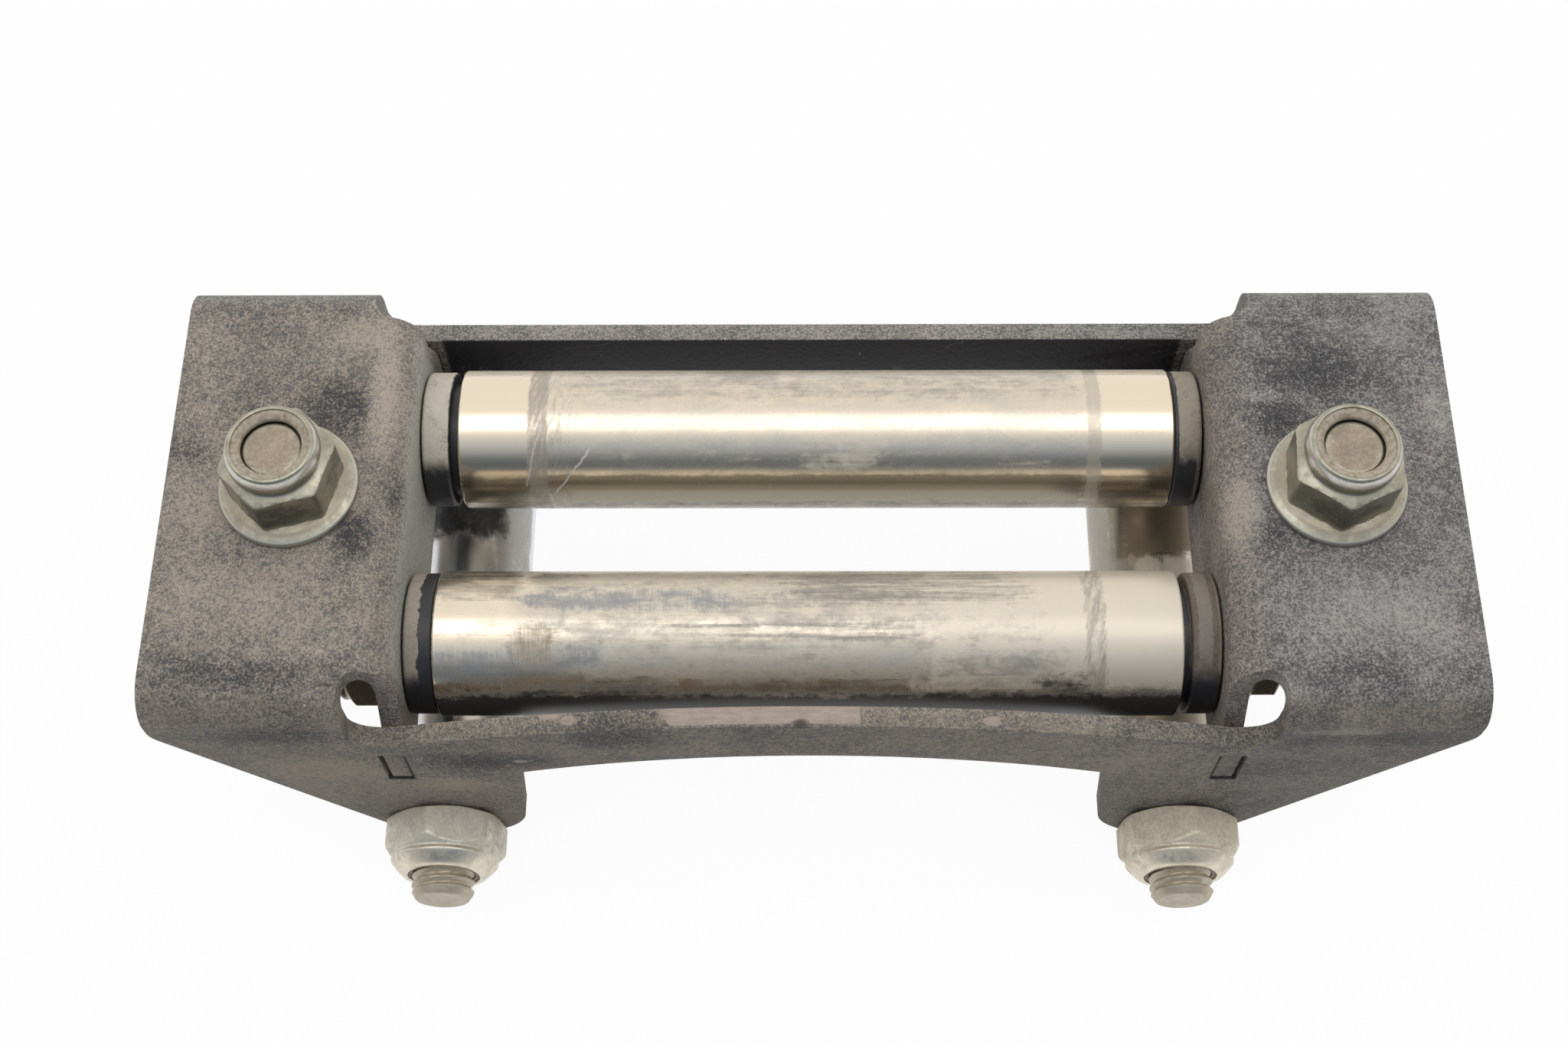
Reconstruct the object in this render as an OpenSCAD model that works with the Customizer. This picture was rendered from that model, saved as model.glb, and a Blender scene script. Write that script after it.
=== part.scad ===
// Roller fairlead: a bent sheet frame with two level and two upright rollers. Millimetres.
// +X runs along the level rollers, +Y towards the top flange, +Z out of the front.
// The origin lies midway between the mounting bolts, on the rear plane of the front plates.

/* [Frame sheet] */
// Overall width across the outer side edges of the front plates
frame_w = 189; // [180:1:204]
// Overall height over the outer faces of the two flanges
frame_h = 71; // [67:1:78]
// Thickness of the bent sheet
sheet_t = 3; // [2.5:0.25:3.5]
// Inside radius of every bend
bend_in_r = 3; // [2:0.5:3.5]
// Distance between the inner faces of the two ears
ear_gap = 119.3; // [112:0.1:121]
// Reach of the ears behind the front face
ear_depth = 26.7; // [25:0.1:30]
// Overall depth of the sheet from its front face to the rear of the flange tips
frame_d = 55.5; // [53.5:0.5:60.5]

/* [Corner reliefs] */
// Reach of a relief outside the start of the ear bend
relief_over = 0.8; // [0.4:0.1:2]
// Reach of a relief behind the front face
relief_depth = 13.1; // [10:0.1:14]
// Reach of a relief below the start of the flange bend
relief_under = 0.5; // [0:0.1:1]
// Corner radius of a relief seen from the front
relief_front_r = 3.2; // [1:0.1:4]
// Corner radius of a relief seen from above
relief_plan_r = 4.2; // [1:0.1:5]
// Depth behind the front face at which an ear's end starts to slope
ear_slope_front = 9; // [8:0.1:11]
// Depth behind the front face at which that slope meets the flange
ear_slope_rear = 16.7; // [14:0.1:17.2]

/* [Flanges] */
// Depth behind the front face at which the slanted outer edges begin
slant_start = 9.5; // [7:0.5:14]
// Radius between a side edge and a slanted edge
side_corner_r = 5; // [2:0.5:8]
// Metal round an upright bolt, from its axis to the rear and slanted edges
tip_edge = 8.5; // [7.5:0.25:10]
// Distance from an upright bolt's axis to the inner root of its tip
tip_root = 14.2; // [13:0.1:17]
// Depth behind the front face at which the inner edge of a tip begins to taper
tip_root_depth = 24.4; // [20:0.1:28]
// Radius of the inner corner of a tip
tip_corner_r = 10; // [8.5:0.1:11]
// Distance of that corner's centre from the upright bolt's axis, towards the middle
tip_corner_in = 2.8; // [2:0.1:4]
// Distance of that corner's centre in front of the upright bolt's axis
tip_corner_up = 4.6; // [4:0.1:6]
// Depth of the bottom lip's front edge at the middle
lip_front = 4.9; // [3:0.1:8]
// Radius of the bottom lip's arched front edge
lip_r = 229; // [190:1:260]
// Depth of the bottom strip's rear edge at the middle
bottom_rear = 16.9; // [15:0.1:20]
// Depth of the top strip's rear edge at the middle
top_rear = 26; // [23:0.5:28]
// Radius of the arched rear edges of both strips
rear_r = 132; // [110:1:180]

/* [Ear tabs] */
// Length of a tab along the ear
tab_len = 9.4; // [6:0.1:11]
// Play between a tab and the outer side of its slot
slot_out_play = 0.65; // [0.3:0.05:1]
// Play between a tab and the other sides of its slot
slot_play = 0.2; // [0.1:0.05:0.4]
// Set-back of a tab's end from the outer face of the flange
tab_recess = 0.3; // [0.1:0.1:1]

/* [Rollers] */
// Outside diameter of the roller tubes
tube_d = 21.6; // [19:0.1:23]
// Wall of the roller tubes
tube_wall = 2; // [1.5:0.1:2.5]
// Distance of a level roller's axis from the outer face of its flange
level_inset = 18.15; // [17:0.05:19]
// Depth of the level rollers' axes behind the front face
level_depth = 17.9; // [17.5:0.1:19]
// Distance between the axes of the two upright rollers
upright_pitch = 115; // [110:1:120]
// Free length left for a tube between its two bush flanges
end_play = 1.3; // [0.4:0.1:2]
// Share of that play taken up to one side on the level rollers, 1 for all of it
end_shift = 1; // [0:0.1:1]
// Chamfer on the tube ends
tube_chamfer = 0.4; // [0.2:0.1:0.8]

/* [Bushes] */
// Thickness of a bush flange
bush_flange_t = 4.2; // [3:0.1:5]
// Amount by which a bush flange is smaller than the tube
bush_under = 0.6; // [0.2:0.1:2]
// Length of the bush spigot inside the tube
spigot_len = 14; // [8:1:20]
// Edge radius of a bush flange
bush_edge_r = 0.5; // [0.2:0.1:1]

/* [Bolts] */
// Diameter of all bolts
bolt_d = 10; // [9:0.1:10.5]
// Amount by which the threaded length is thinner than the plain shank
thread_under = 0.2; // [0.1:0.05:0.4]
// Height of an axle bolt's head with its flange
head_h = 6.4; // [5.5:0.1:8]
// Width across the flats of the bolt heads
head_s = 15; // [14.5:0.1:16]
// Diameter of the flange under the bolt heads
head_flange_d = 20.8; // [19.5:0.1:22]
// Turn of the level axles' heads about their axles
head_turn = 26; // [0:1:60]
// Length of thread showing past an axle's lock nut
axle_out = 3.7; // [2:0.1:6]
// Distance between the two mounting bolts
mount_pitch = 152.4; // [149:0.1:158]
// Plain shank left free behind the front plates for the carrier plate
mount_grip = 6; // [4:0.5:8]
// Set-back of a mounting bolt's end below the top of its nut
mount_recess = 1.6; // [0.6:0.1:2]

/* [Lock nuts] */
// Width across the flats of an axle's lock nut
hex_s = 17; // [16:0.1:18]
// Height of an axle's lock nut
nut_h = 9.2; // [8.6:0.1:10]
// Height of its hexagon
nut_hex_h = 5.9; // [5:0.1:6.5]
// Diameter of its collar
collar_d = 16.2; // [15:0.1:16.5]
// Turn of the level axles' nuts about their axles
level_turn = 37; // [0:1:60]
// Turn of the left upright axle's nut about its axle
upright_turn_left = 41; // [0:1:60]
// Turn of the right upright axle's nut about its axle
upright_turn_right = 21; // [0:1:60]

/* [Flange nuts] */
// Height of a mounting nut
fnut_h = 13; // [12.4:0.1:13.5]
// Diameter of the flange under a mounting nut
fnut_flange_d = 20.5; // [19.5:0.1:22]
// Width across the flats of a mounting nut
fnut_s = 15; // [14.5:0.1:16]
// Height of the mounting nut's hexagon above the plate
fnut_hex_h = 9.4; // [8.5:0.1:10]
// Diameter of the mounting nut's collar
fnut_collar_d = 13.6; // [13:0.1:14.4]
// Turn of the left mounting nut about its bolt
fnut_turn_left = 15; // [0:1:60]
// Turn of the right mounting nut about its bolt
fnut_turn_right = 26; // [0:1:60]

/* [Fits] */
// Radial play of a bolt in a sheet hole
hole_play = 0.25; // [0.15:0.05:0.5]
// Radial running play of a bush on its axle
run_play = 0.05; // [0.02:0.01:0.1]
// Side play between a bush flange and the sheet
side_play = 0.3; // [0.25:0.05:0.5]
// Radial play between pieces that are fixed to each other
seat_play = 0.02; // [0.01:0.01:0.05]

/* [Hidden] */
$fn = 64;
// Overlap that carries a cut past a face
past = 1;
// Outside radius of every bend
bend_out_r = bend_in_r + sheet_t;
half_w = frame_w / 2;
half_h = frame_h / 2;
inner_h = half_h - sheet_t;
front_z = sheet_t;
ear_x = ear_gap / 2;
relief_x = ear_x + bend_out_r + relief_over;
relief_y = half_h - bend_out_r - relief_under;
upright_x = upright_pitch / 2;
upright_z = front_z - frame_d + tip_edge;
level_y = half_h - level_inset;
level_z = front_z - level_depth;
mount_x = mount_pitch / 2;
relief_z = front_z - relief_depth;
ear_rear_z = front_z - ear_depth;
rear_z = upright_z - tip_edge;
slope_front_z = front_z - ear_slope_front;
slope_rear_z = front_z - ear_slope_rear;
// Slanted edge: tangent from the end of the side edge to the circle round the upright bolt
slant_z = front_z - slant_start;
slant_dx = half_w - upright_x;
slant_dz = slant_z - upright_z;
slant_d = sqrt(slant_dx * slant_dx + slant_dz * slant_dz);
slant_a = atan2(slant_dx, slant_dz) - asin(tip_edge / slant_d);
slant_end_x = upright_x + tip_edge * cos(slant_a);
slant_end_z = upright_z - tip_edge * sin(slant_a);
corner_trim = side_corner_r * tan(slant_a / 2);
corner_x = half_w - side_corner_r;
corner_z = slant_z + corner_trim;
corner_end_x = half_w - corner_trim * sin(slant_a);
corner_end_z = slant_z - corner_trim * cos(slant_a);
// Inner edge of a tip: tangent from its root to the corner circle
root_x = upright_x - tip_root;
root_z = front_z - tip_root_depth;
tip_c_x = upright_x - tip_corner_in;
tip_c_z = upright_z + tip_corner_up;
root_dx = tip_c_x - root_x;
root_dz = root_z - tip_c_z;
root_d = sqrt(root_dx * root_dx + root_dz * root_dz);
root_a = atan2(root_dx, root_dz) - asin(tip_corner_r / root_d);
taper_x = tip_c_x - tip_corner_r * cos(root_a);
taper_z = tip_c_z - tip_corner_r * sin(root_a);
// Nose of a tip: common tangent of the corner circle and the circle round the upright bolt
nose_d = sqrt(tip_corner_in * tip_corner_in + tip_corner_up * tip_corner_up);
nose_a = atan2(tip_corner_up, tip_corner_in) + acos((tip_corner_r - tip_edge) / nose_d);
// Bolts
bolt_r = bolt_d / 2;
thread_r = bolt_r - thread_under / 2;
// Rounded corners of a hexagon: diameter over them as a share of the width across the flats
corner_share = 1.13;
hex_chamfer = 0.5;
thread_chamfer = 0.9;
// Rollers
tube_r = tube_d / 2;
tube_in_r = tube_r - tube_wall;
bush_r = tube_r - bush_under / 2;
level_tube_len = ear_gap - 2 * side_play - 2 * bush_flange_t - end_play;
upright_tube_len = 2 * inner_h - 2 * side_play - 2 * bush_flange_t - end_play;
level_shift = end_shift * end_play / 2;
// Lock nuts
ring_wall = 1;
ring_grip = 0.35;
open_play = 0.6;
ring_r = bolt_r + ring_wall;
ring_in_r = bolt_r - ring_grip;
nut_open_r = bolt_r + open_play;
nut_lip_t = 0.4;
rim_r = 1.5;
insert_len = 2.2;
fnut_flange_t = 1;
fnut_cone_h = 2;
// Bolt heads
head_flange_t = 0.9;
head_cone_h = 2.6;
mhead_h = 9;

coat = [0.20, 0.20, 0.21];
zinc = [0.74, 0.72, 0.66];
dull_zinc = [0.62, 0.61, 0.55];
black_plastic = [0.10, 0.10, 0.11];
nylon = [0.80, 0.79, 0.72];

// Extrusion helpers: a flat outline carried along one axis between two stations

// Outline given in Y and Z, carried along X
module along_x(x0, x1) {
  translate([x0, 0, 0])
    rotate([90, 0, 90])
      linear_extrude(x1 - x0)
        children();
}

// Outline given in X and Z, carried along Y
module along_y(y0, y1) {
  translate([0, y1, 0])
    rotate([90, 0, 0])
      linear_extrude(y1 - y0)
        children();
}

// Outline given in X and Y, carried along Z
module along_z(z0, z1) {
  translate([0, 0, z0])
    linear_extrude(z1 - z0)
      children();
}

// The same piece on both sides of the middle plane
module both_sides() {
  children();
  mirror([1, 0, 0])
    children();
}

// Frame outlines

// Filled cross-section of the channel in Y and Z, its two front corners rounded
module section(h, top, r, deep) {
  translate([-h, -deep])
    square([2 * h, deep + top - r]);
  translate([-h + r, -deep])
    square([2 * (h - r), deep + top]);
  translate([-h + r, top - r])
    circle(r);
  translate([h - r, top - r])
    circle(r);
}

// Filled plan of one side block in X and Z, rounded where the ear is bent off
module block_plan(x0, x1, top, r, rear) {
  translate([x0, rear])
    square([x1 - x0, top - r - rear]);
  translate([x0 + r, rear])
    square([x1 - x0 - r, top - rear]);
  translate([x0 + r, top - r])
    circle(r);
}

// Outer limit of the flanges in plan: side edge, slanted edge and rounded tip
module limit_plan() {
  both_sides() {
    polygon([
      [-past, front_z + past],
      [half_w, front_z + past],
      [half_w, corner_z],
      [corner_end_x, corner_end_z],
      [slant_end_x, slant_end_z],
      [upright_x, rear_z],
      [-past, rear_z]
    ]);
    translate([corner_x, corner_z])
      circle(side_corner_r);
    translate([upright_x, upright_z])
      circle(tip_edge);
  }
}

// Plan of the flange part that carries one upright bolt
module tip_plan() {
  polygon([
    [root_x, relief_z],
    [root_x, root_z],
    [taper_x, taper_z],
    [tip_c_x + tip_corner_r * cos(nose_a), tip_c_z - tip_corner_r * sin(nose_a)],
    [upright_x + tip_edge * cos(nose_a), upright_z - tip_edge * sin(nose_a)],
    [upright_x, rear_z],
    [half_w, rear_z],
    [half_w, relief_z]
  ]);
  translate([tip_c_x, tip_c_z])
    circle(tip_corner_r);
  translate([upright_x, upright_z])
    circle(tip_edge);
}

// Plan of the strip that joins the two tips, with an arched rear edge
module strip_plan(rear_mid) {
  difference() {
    translate([-root_x - past, tip_c_z])
      square([2 * (root_x + past), relief_z - tip_c_z]);
    translate([0, front_z - rear_mid - rear_r])
      circle(rear_r);
  }
}

// Disc whose edge is the arched front of the bottom lip
module lip_disc() {
  translate([0, front_z - lip_front - lip_r])
    circle(lip_r);
}

// Plan of the bottom lip in front of the strip
module lip_plan() {
  intersection() {
    lip_disc();
    translate([-relief_x, relief_z - past])
      square([2 * relief_x, relief_depth + past]);
  }
}

// Plan of the corner reliefs, rounded at their two outer rear corners
module relief_plan() {
  translate([-relief_x, relief_z + relief_plan_r])
    square([2 * relief_x, relief_depth + past - relief_plan_r]);
  translate([-relief_x + relief_plan_r, relief_z])
    square([2 * (relief_x - relief_plan_r), relief_depth]);
  translate([-relief_x + relief_plan_r, relief_z + relief_plan_r])
    circle(relief_plan_r);
  translate([relief_x - relief_plan_r, relief_z + relief_plan_r])
    circle(relief_plan_r);
}

// Front view of one pair of reliefs, rounded at the two corners next to the plates
module relief_front() {
  translate([-relief_x, relief_y + relief_front_r])
    square([2 * relief_x, half_h + past - relief_y - relief_front_r]);
  translate([-relief_x + relief_front_r, relief_y])
    square([2 * (relief_x - relief_front_r), half_h + past - relief_y]);
  translate([-relief_x + relief_front_r, relief_y + relief_front_r])
    circle(relief_front_r);
  translate([relief_x - relief_front_r, relief_y + relief_front_r])
    circle(relief_front_r);
}

// Frame solids

// One side: front plate, ear and the front part of both flanges, bent from one sheet
module side_shell() {
  difference() {
    intersection() {
      along_x(0, half_w)
        section(half_h, front_z, bend_out_r, ear_depth);
      along_y(-half_h, half_h)
        block_plan(ear_x, half_w, front_z, bend_out_r, ear_rear_z);
    }
    intersection() {
      along_x(0, half_w + past)
        section(inner_h, 0, bend_in_r, ear_depth + past);
      along_y(-half_h, half_h)
        block_plan(ear_x + sheet_t, half_w + past, 0, bend_in_r, ear_rear_z - past);
    }
  }
}

// Flat parts of the two flanges
module flange_flats() {
  along_y(inner_h, half_h) {
    both_sides()
      tip_plan();
    strip_plan(top_rear);
  }
  along_y(-half_h, -inner_h) {
    both_sides()
      tip_plan();
    strip_plan(bottom_rear);
    lip_plan();
  }
}

// Metal kept under the sloping ends of the ears
module slope_kept() {
  along_x(-relief_x - past, relief_x + past)
    polygon([[relief_y, slope_front_z], [relief_y, slope_rear_z], [inner_h, slope_rear_z]]);
}

// Metal cut off above the sloping end of one ear
module slope_cut() {
  along_x(ear_x - past, ear_x + sheet_t + past)
    polygon([[relief_y, slope_front_z], [inner_h, slope_rear_z], [inner_h, slope_front_z]]);
}

// Space cleared by the reliefs above the ears
module top_relief() {
  difference() {
    intersection() {
      along_y(relief_y, half_h + past)
        relief_plan();
      along_z(relief_z - past, front_z + past)
        relief_front();
    }
    slope_kept();
  }
  both_sides()
    slope_cut();
}

// Space cleared by the reliefs below the ears, the lip left standing
module bottom_relief() {
  difference() {
    intersection() {
      along_y(-half_h - past, -relief_y)
        difference() {
          relief_plan();
          lip_disc();
        }
      along_z(relief_z - past, front_z + past)
        mirror([0, 1, 0])
          relief_front();
    }
    mirror([0, 1, 0])
      slope_kept();
  }
  mirror([0, 1, 0])
    both_sides()
      slope_cut();
}

// Slots in both flanges on one side, open round the ear tabs
module tab_slots() {
  along_y(inner_h, half_h + past)
    slot_plan();
  along_y(-half_h - past, -inner_h)
    slot_plan();
}

// Plan of one slot
module slot_plan() {
  translate([ear_x - slot_play, ear_rear_z - slot_play])
    square([sheet_t + slot_play + slot_out_play, tab_len + 2 * slot_play]);
}

// Tabs at both ends of one ear
module tabs() {
  along_y(inner_h - past, half_h - tab_recess)
    tab_plan();
  along_y(-half_h + tab_recess, -inner_h + past)
    tab_plan();
}

// Plan of one tab
module tab_plan() {
  translate([ear_x, ear_rear_z])
    square([sheet_t, tab_len]);
}

// Holes for the mounting bolts, the level axles and the upright axles
module frame_holes() {
  for (sx = [-1, 1]) {
    translate([sx * mount_x, 0, -past])
      cylinder(r = bolt_r + hole_play, h = sheet_t + 2 * past);
    translate([sx * upright_x, half_h + past, upright_z])
      rotate([90, 0, 0])
        cylinder(r = bolt_r + hole_play, h = frame_h + 2 * past);
  }
  for (sy = [-1, 1])
    translate([-ear_x - sheet_t - past, sy * level_y, level_z])
      rotate([0, 90, 0])
        cylinder(r = bolt_r + hole_play, h = ear_gap + 2 * (sheet_t + past));
}

module frame() {
  color(coat)
    difference() {
      union() {
        difference() {
          intersection() {
            union() {
              both_sides()
                side_shell();
              flange_flats();
            }
            along_y(-half_h, half_h)
              limit_plan();
          }
          top_relief();
          bottom_relief();
          both_sides()
            tab_slots();
        }
        both_sides()
          tabs();
      }
      frame_holes();
    }
}

// Rollers and bushes, each built along +Z and then laid along its axle

// Tube of a roller, centred
module tube(len) {
  rotate_extrude()
    polygon([
      [tube_in_r, -len / 2],
      [tube_r - tube_chamfer, -len / 2],
      [tube_r, -len / 2 + tube_chamfer],
      [tube_r, len / 2 - tube_chamfer],
      [tube_r - tube_chamfer, len / 2],
      [tube_in_r, len / 2]
    ]);
}

// Flanged bush: flange from 0 down to minus its thickness, spigot upwards
module bush() {
  difference() {
    union() {
      rotate_extrude() {
        translate([0, -bush_flange_t])
          square([bush_r - bush_edge_r, bush_flange_t]);
        translate([0, -bush_flange_t + bush_edge_r])
          square([bush_r, bush_flange_t - 2 * bush_edge_r]);
        translate([bush_r - bush_edge_r, -bush_edge_r])
          circle(bush_edge_r);
        translate([bush_r - bush_edge_r, -bush_flange_t + bush_edge_r])
          circle(bush_edge_r);
      }
      cylinder(r = tube_in_r - seat_play, h = spigot_len);
    }
    translate([0, 0, -bush_flange_t - past])
      cylinder(r = bolt_r + run_play, h = bush_flange_t + spigot_len + 2 * past);
  }
}

// Fasteners, each built along +Z with its bearing face at 0

// Plain hexagon
module hex_bar(s, h) {
  linear_extrude(h)
    circle(d = s / cos(30), $fn = 6);
}

// Hexagon with rounded corners and both ends chamfered
module hex_body(s, h) {
  round_r = corner_share * s / 2;
  intersection() {
    hex_bar(s, h);
    rotate_extrude()
      polygon([
        [0, 0],
        [s / 2 - hex_chamfer / 2, 0],
        [round_r, hex_chamfer],
        [round_r, h - 2 * hex_chamfer],
        [s / 2 - hex_chamfer / 2, h],
        [0, h]
      ]);
  }
}

// Shank of a bolt: plain from 0 to plain_end, threaded to the chamfered tip
module shank(plain_end, tip) {
  cylinder(r = bolt_r, h = plain_end);
  cylinder(r = thread_r, h = tip - thread_chamfer);
  translate([0, 0, tip - thread_chamfer])
    cylinder(r1 = thread_r, r2 = thread_r - thread_chamfer, h = thread_chamfer);
}

// Hexagon head with a flange, its bearing face at 0 and its top below
module flange_head(h) {
  mirror([0, 0, 1]) {
    cylinder(d = head_flange_d, h = head_flange_t);
    translate([0, 0, head_flange_t])
      cylinder(d1 = head_flange_d, d2 = head_s, h = head_cone_h - head_flange_t);
    hex_body(head_s, h);
  }
}

// Flange bolt used as an axle through a given grip
module axle_bolt(grip) {
  flange_head(head_h);
  shank(grip, grip + nut_h + axle_out);
}

// Rounded collar that holds a nylon ring
module collar(d, z0, z1) {
  rotate_extrude() {
    translate([0, z0])
      square([d / 2, z1 - rim_r - z0]);
    translate([0, z1 - rim_r])
      square([d / 2 - rim_r, rim_r]);
    translate([d / 2 - rim_r, z1 - rim_r])
      circle(rim_r);
  }
}

// Bore of a lock nut with the seat of its nylon ring
module nut_bore(h, len) {
  translate([0, 0, -past])
    cylinder(r = thread_r + seat_play, h = h);
  translate([0, 0, h - nut_lip_t - len])
    cylinder(r = ring_r + seat_play, h = len);
  translate([0, 0, h - nut_lip_t - seat_play])
    cylinder(r = nut_open_r, h = nut_lip_t + past);
}

// Nylon ring of a lock nut, narrower above the bolt's end where the bolt stops inside it
module nut_ring(h, len, bolt_end) {
  difference() {
    translate([0, 0, h - nut_lip_t - len])
      cylinder(r = ring_r, h = len);
    cylinder(r = ring_in_r, h = h);
    cylinder(r = thread_r + seat_play, h = min(bolt_end + seat_play, h));
  }
}

// Lock nut of an axle
module lock_nut() {
  difference() {
    union() {
      hex_body(hex_s, nut_hex_h);
      collar(collar_d, hex_chamfer, nut_h);
    }
    nut_bore(nut_h, insert_len);
  }
}

// Lock nut with a flange, used on the mounting bolts
module flange_nut() {
  difference() {
    union() {
      cylinder(d = fnut_flange_d, h = fnut_flange_t);
      translate([0, 0, fnut_flange_t])
        cylinder(d1 = fnut_flange_d, d2 = fnut_s, h = fnut_cone_h - fnut_flange_t);
      hex_body(fnut_s, fnut_hex_h);
      collar(fnut_collar_d, fnut_flange_t, fnut_h);
    }
    nut_bore(fnut_h, insert_len);
  }
}

// Flange bolt whose plain shank is left free behind the front plate
module mount_bolt() {
  translate([0, 0, -mount_grip]) {
    flange_head(mhead_h);
    shank(mount_grip, mount_grip + sheet_t + fnut_h - mount_recess);
  }
}

// Places

// A level roller's place: +Z of the child runs to the right along the axle
module on_level(sy, x) {
  translate([x, sy * level_y, level_z])
    rotate([0, 90, 0])
      children();
}

// An upright roller's place: +Z of the child runs upwards along the axle
module on_upright(sx, y) {
  translate([sx * upright_x, y, upright_z])
    rotate([-90, 0, 0])
      children();
}

// Level axles: head outside the right ear, nut outside the left ear
module level_axle(sy) {
  on_level(sy, ear_x + sheet_t)
    rotate([0, 180, head_turn])
      axle_bolt(ear_gap + 2 * sheet_t);
}

module level_nut_place(sy) {
  on_level(sy, -ear_x - sheet_t)
    rotate([0, 180, level_turn])
      children();
}

// Upright axles: head above the top flange, nut below the bottom flange
module upright_axle(sx) {
  on_upright(sx, half_h)
    rotate([0, 180, 0])
      axle_bolt(frame_h);
}

module upright_nut_place(sx, turn) {
  on_upright(sx, -half_h)
    rotate([0, 180, 0])
      rotate([0, 0, turn])
        children();
}

module level_bush_left(sy) {
  on_level(sy, -ear_x + side_play + bush_flange_t)
    bush();
}

module level_bush_right(sy) {
  on_level(sy, ear_x - side_play - bush_flange_t)
    rotate([0, 180, 0])
      bush();
}

module upright_bush_bottom(sx) {
  on_upright(sx, -inner_h + side_play + bush_flange_t)
    bush();
}

module upright_bush_top(sx) {
  on_upright(sx, inner_h - side_play - bush_flange_t)
    rotate([0, 180, 0])
      bush();
}

// Upper level roller

module upper_tube() {
  color(zinc)
    on_level(1, level_shift)
      tube(level_tube_len);
}

module upper_bush_left() {
  color(black_plastic)
    level_bush_left(1);
}

module upper_bush_right() {
  color(black_plastic)
    level_bush_right(1);
}

module upper_axle() {
  color(zinc)
    level_axle(1);
}

module upper_nut() {
  color(zinc)
    level_nut_place(1)
      lock_nut();
}

module upper_insert() {
  color(nylon)
    level_nut_place(1)
      nut_ring(nut_h, insert_len, nut_h);
}

// Lower level roller

module lower_tube() {
  color(zinc)
    on_level(-1, -level_shift)
      tube(level_tube_len);
}

module lower_bush_left() {
  color(black_plastic)
    level_bush_left(-1);
}

module lower_bush_right() {
  color(black_plastic)
    level_bush_right(-1);
}

module lower_axle() {
  color(zinc)
    level_axle(-1);
}

module lower_nut() {
  color(zinc)
    level_nut_place(-1)
      lock_nut();
}

module lower_insert() {
  color(nylon)
    level_nut_place(-1)
      nut_ring(nut_h, insert_len, nut_h);
}

// Left upright roller

module left_tube() {
  color(zinc)
    on_upright(-1, 0)
      tube(upright_tube_len);
}

module left_bush_top() {
  color(black_plastic)
    upright_bush_top(-1);
}

module left_bush_bottom() {
  color(black_plastic)
    upright_bush_bottom(-1);
}

module left_axle() {
  color(zinc)
    upright_axle(-1);
}

module left_nut() {
  color(zinc)
    upright_nut_place(-1, upright_turn_left)
      lock_nut();
}

module left_insert() {
  color(nylon)
    upright_nut_place(-1, upright_turn_left)
      nut_ring(nut_h, insert_len, nut_h);
}

// Right upright roller

module right_tube() {
  color(zinc)
    on_upright(1, 0)
      tube(upright_tube_len);
}

module right_bush_top() {
  color(black_plastic)
    upright_bush_top(1);
}

module right_bush_bottom() {
  color(black_plastic)
    upright_bush_bottom(1);
}

module right_axle() {
  color(zinc)
    upright_axle(1);
}

module right_nut() {
  color(zinc)
    upright_nut_place(1, upright_turn_right)
      lock_nut();
}

module right_insert() {
  color(nylon)
    upright_nut_place(1, upright_turn_right)
      nut_ring(nut_h, insert_len, nut_h);
}

// Mounting hardware: bolt from behind, flange nut on the front of the plate

module left_mount_bolt() {
  color(dull_zinc)
    translate([-mount_x, 0, 0])
      mount_bolt();
}

module left_mount_nut() {
  color(dull_zinc)
    translate([-mount_x, 0, front_z])
      rotate([0, 0, fnut_turn_left])
        flange_nut();
}

module left_mount_insert() {
  color(nylon)
    translate([-mount_x, 0, front_z])
      nut_ring(fnut_h, insert_len, fnut_h - mount_recess);
}

module right_mount_bolt() {
  color(dull_zinc)
    translate([mount_x, 0, 0])
      mount_bolt();
}

module right_mount_nut() {
  color(dull_zinc)
    translate([mount_x, 0, front_z])
      rotate([0, 0, fnut_turn_right])
        flange_nut();
}

module right_mount_insert() {
  color(nylon)
    translate([mount_x, 0, front_z])
      nut_ring(fnut_h, insert_len, fnut_h - mount_recess);
}

frame();
upper_tube();
upper_bush_left();
upper_bush_right();
upper_axle();
upper_nut();
upper_insert();
lower_tube();
lower_bush_left();
lower_bush_right();
lower_axle();
lower_nut();
lower_insert();
left_tube();
left_bush_top();
left_bush_bottom();
left_axle();
left_nut();
left_insert();
right_tube();
right_bush_top();
right_bush_bottom();
right_axle();
right_nut();
right_insert();
left_mount_bolt();
left_mount_nut();
left_mount_insert();
right_mount_bolt();
right_mount_nut();
right_mount_insert();
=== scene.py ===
import logging
import math
from dataclasses import dataclass
from enum import Enum
from functools import lru_cache
from typing import Any, ClassVar, Mapping, Sequence, Union

import bmesh
import bpy
import numpy as np
from mathutils import Matrix, Vector


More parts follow.
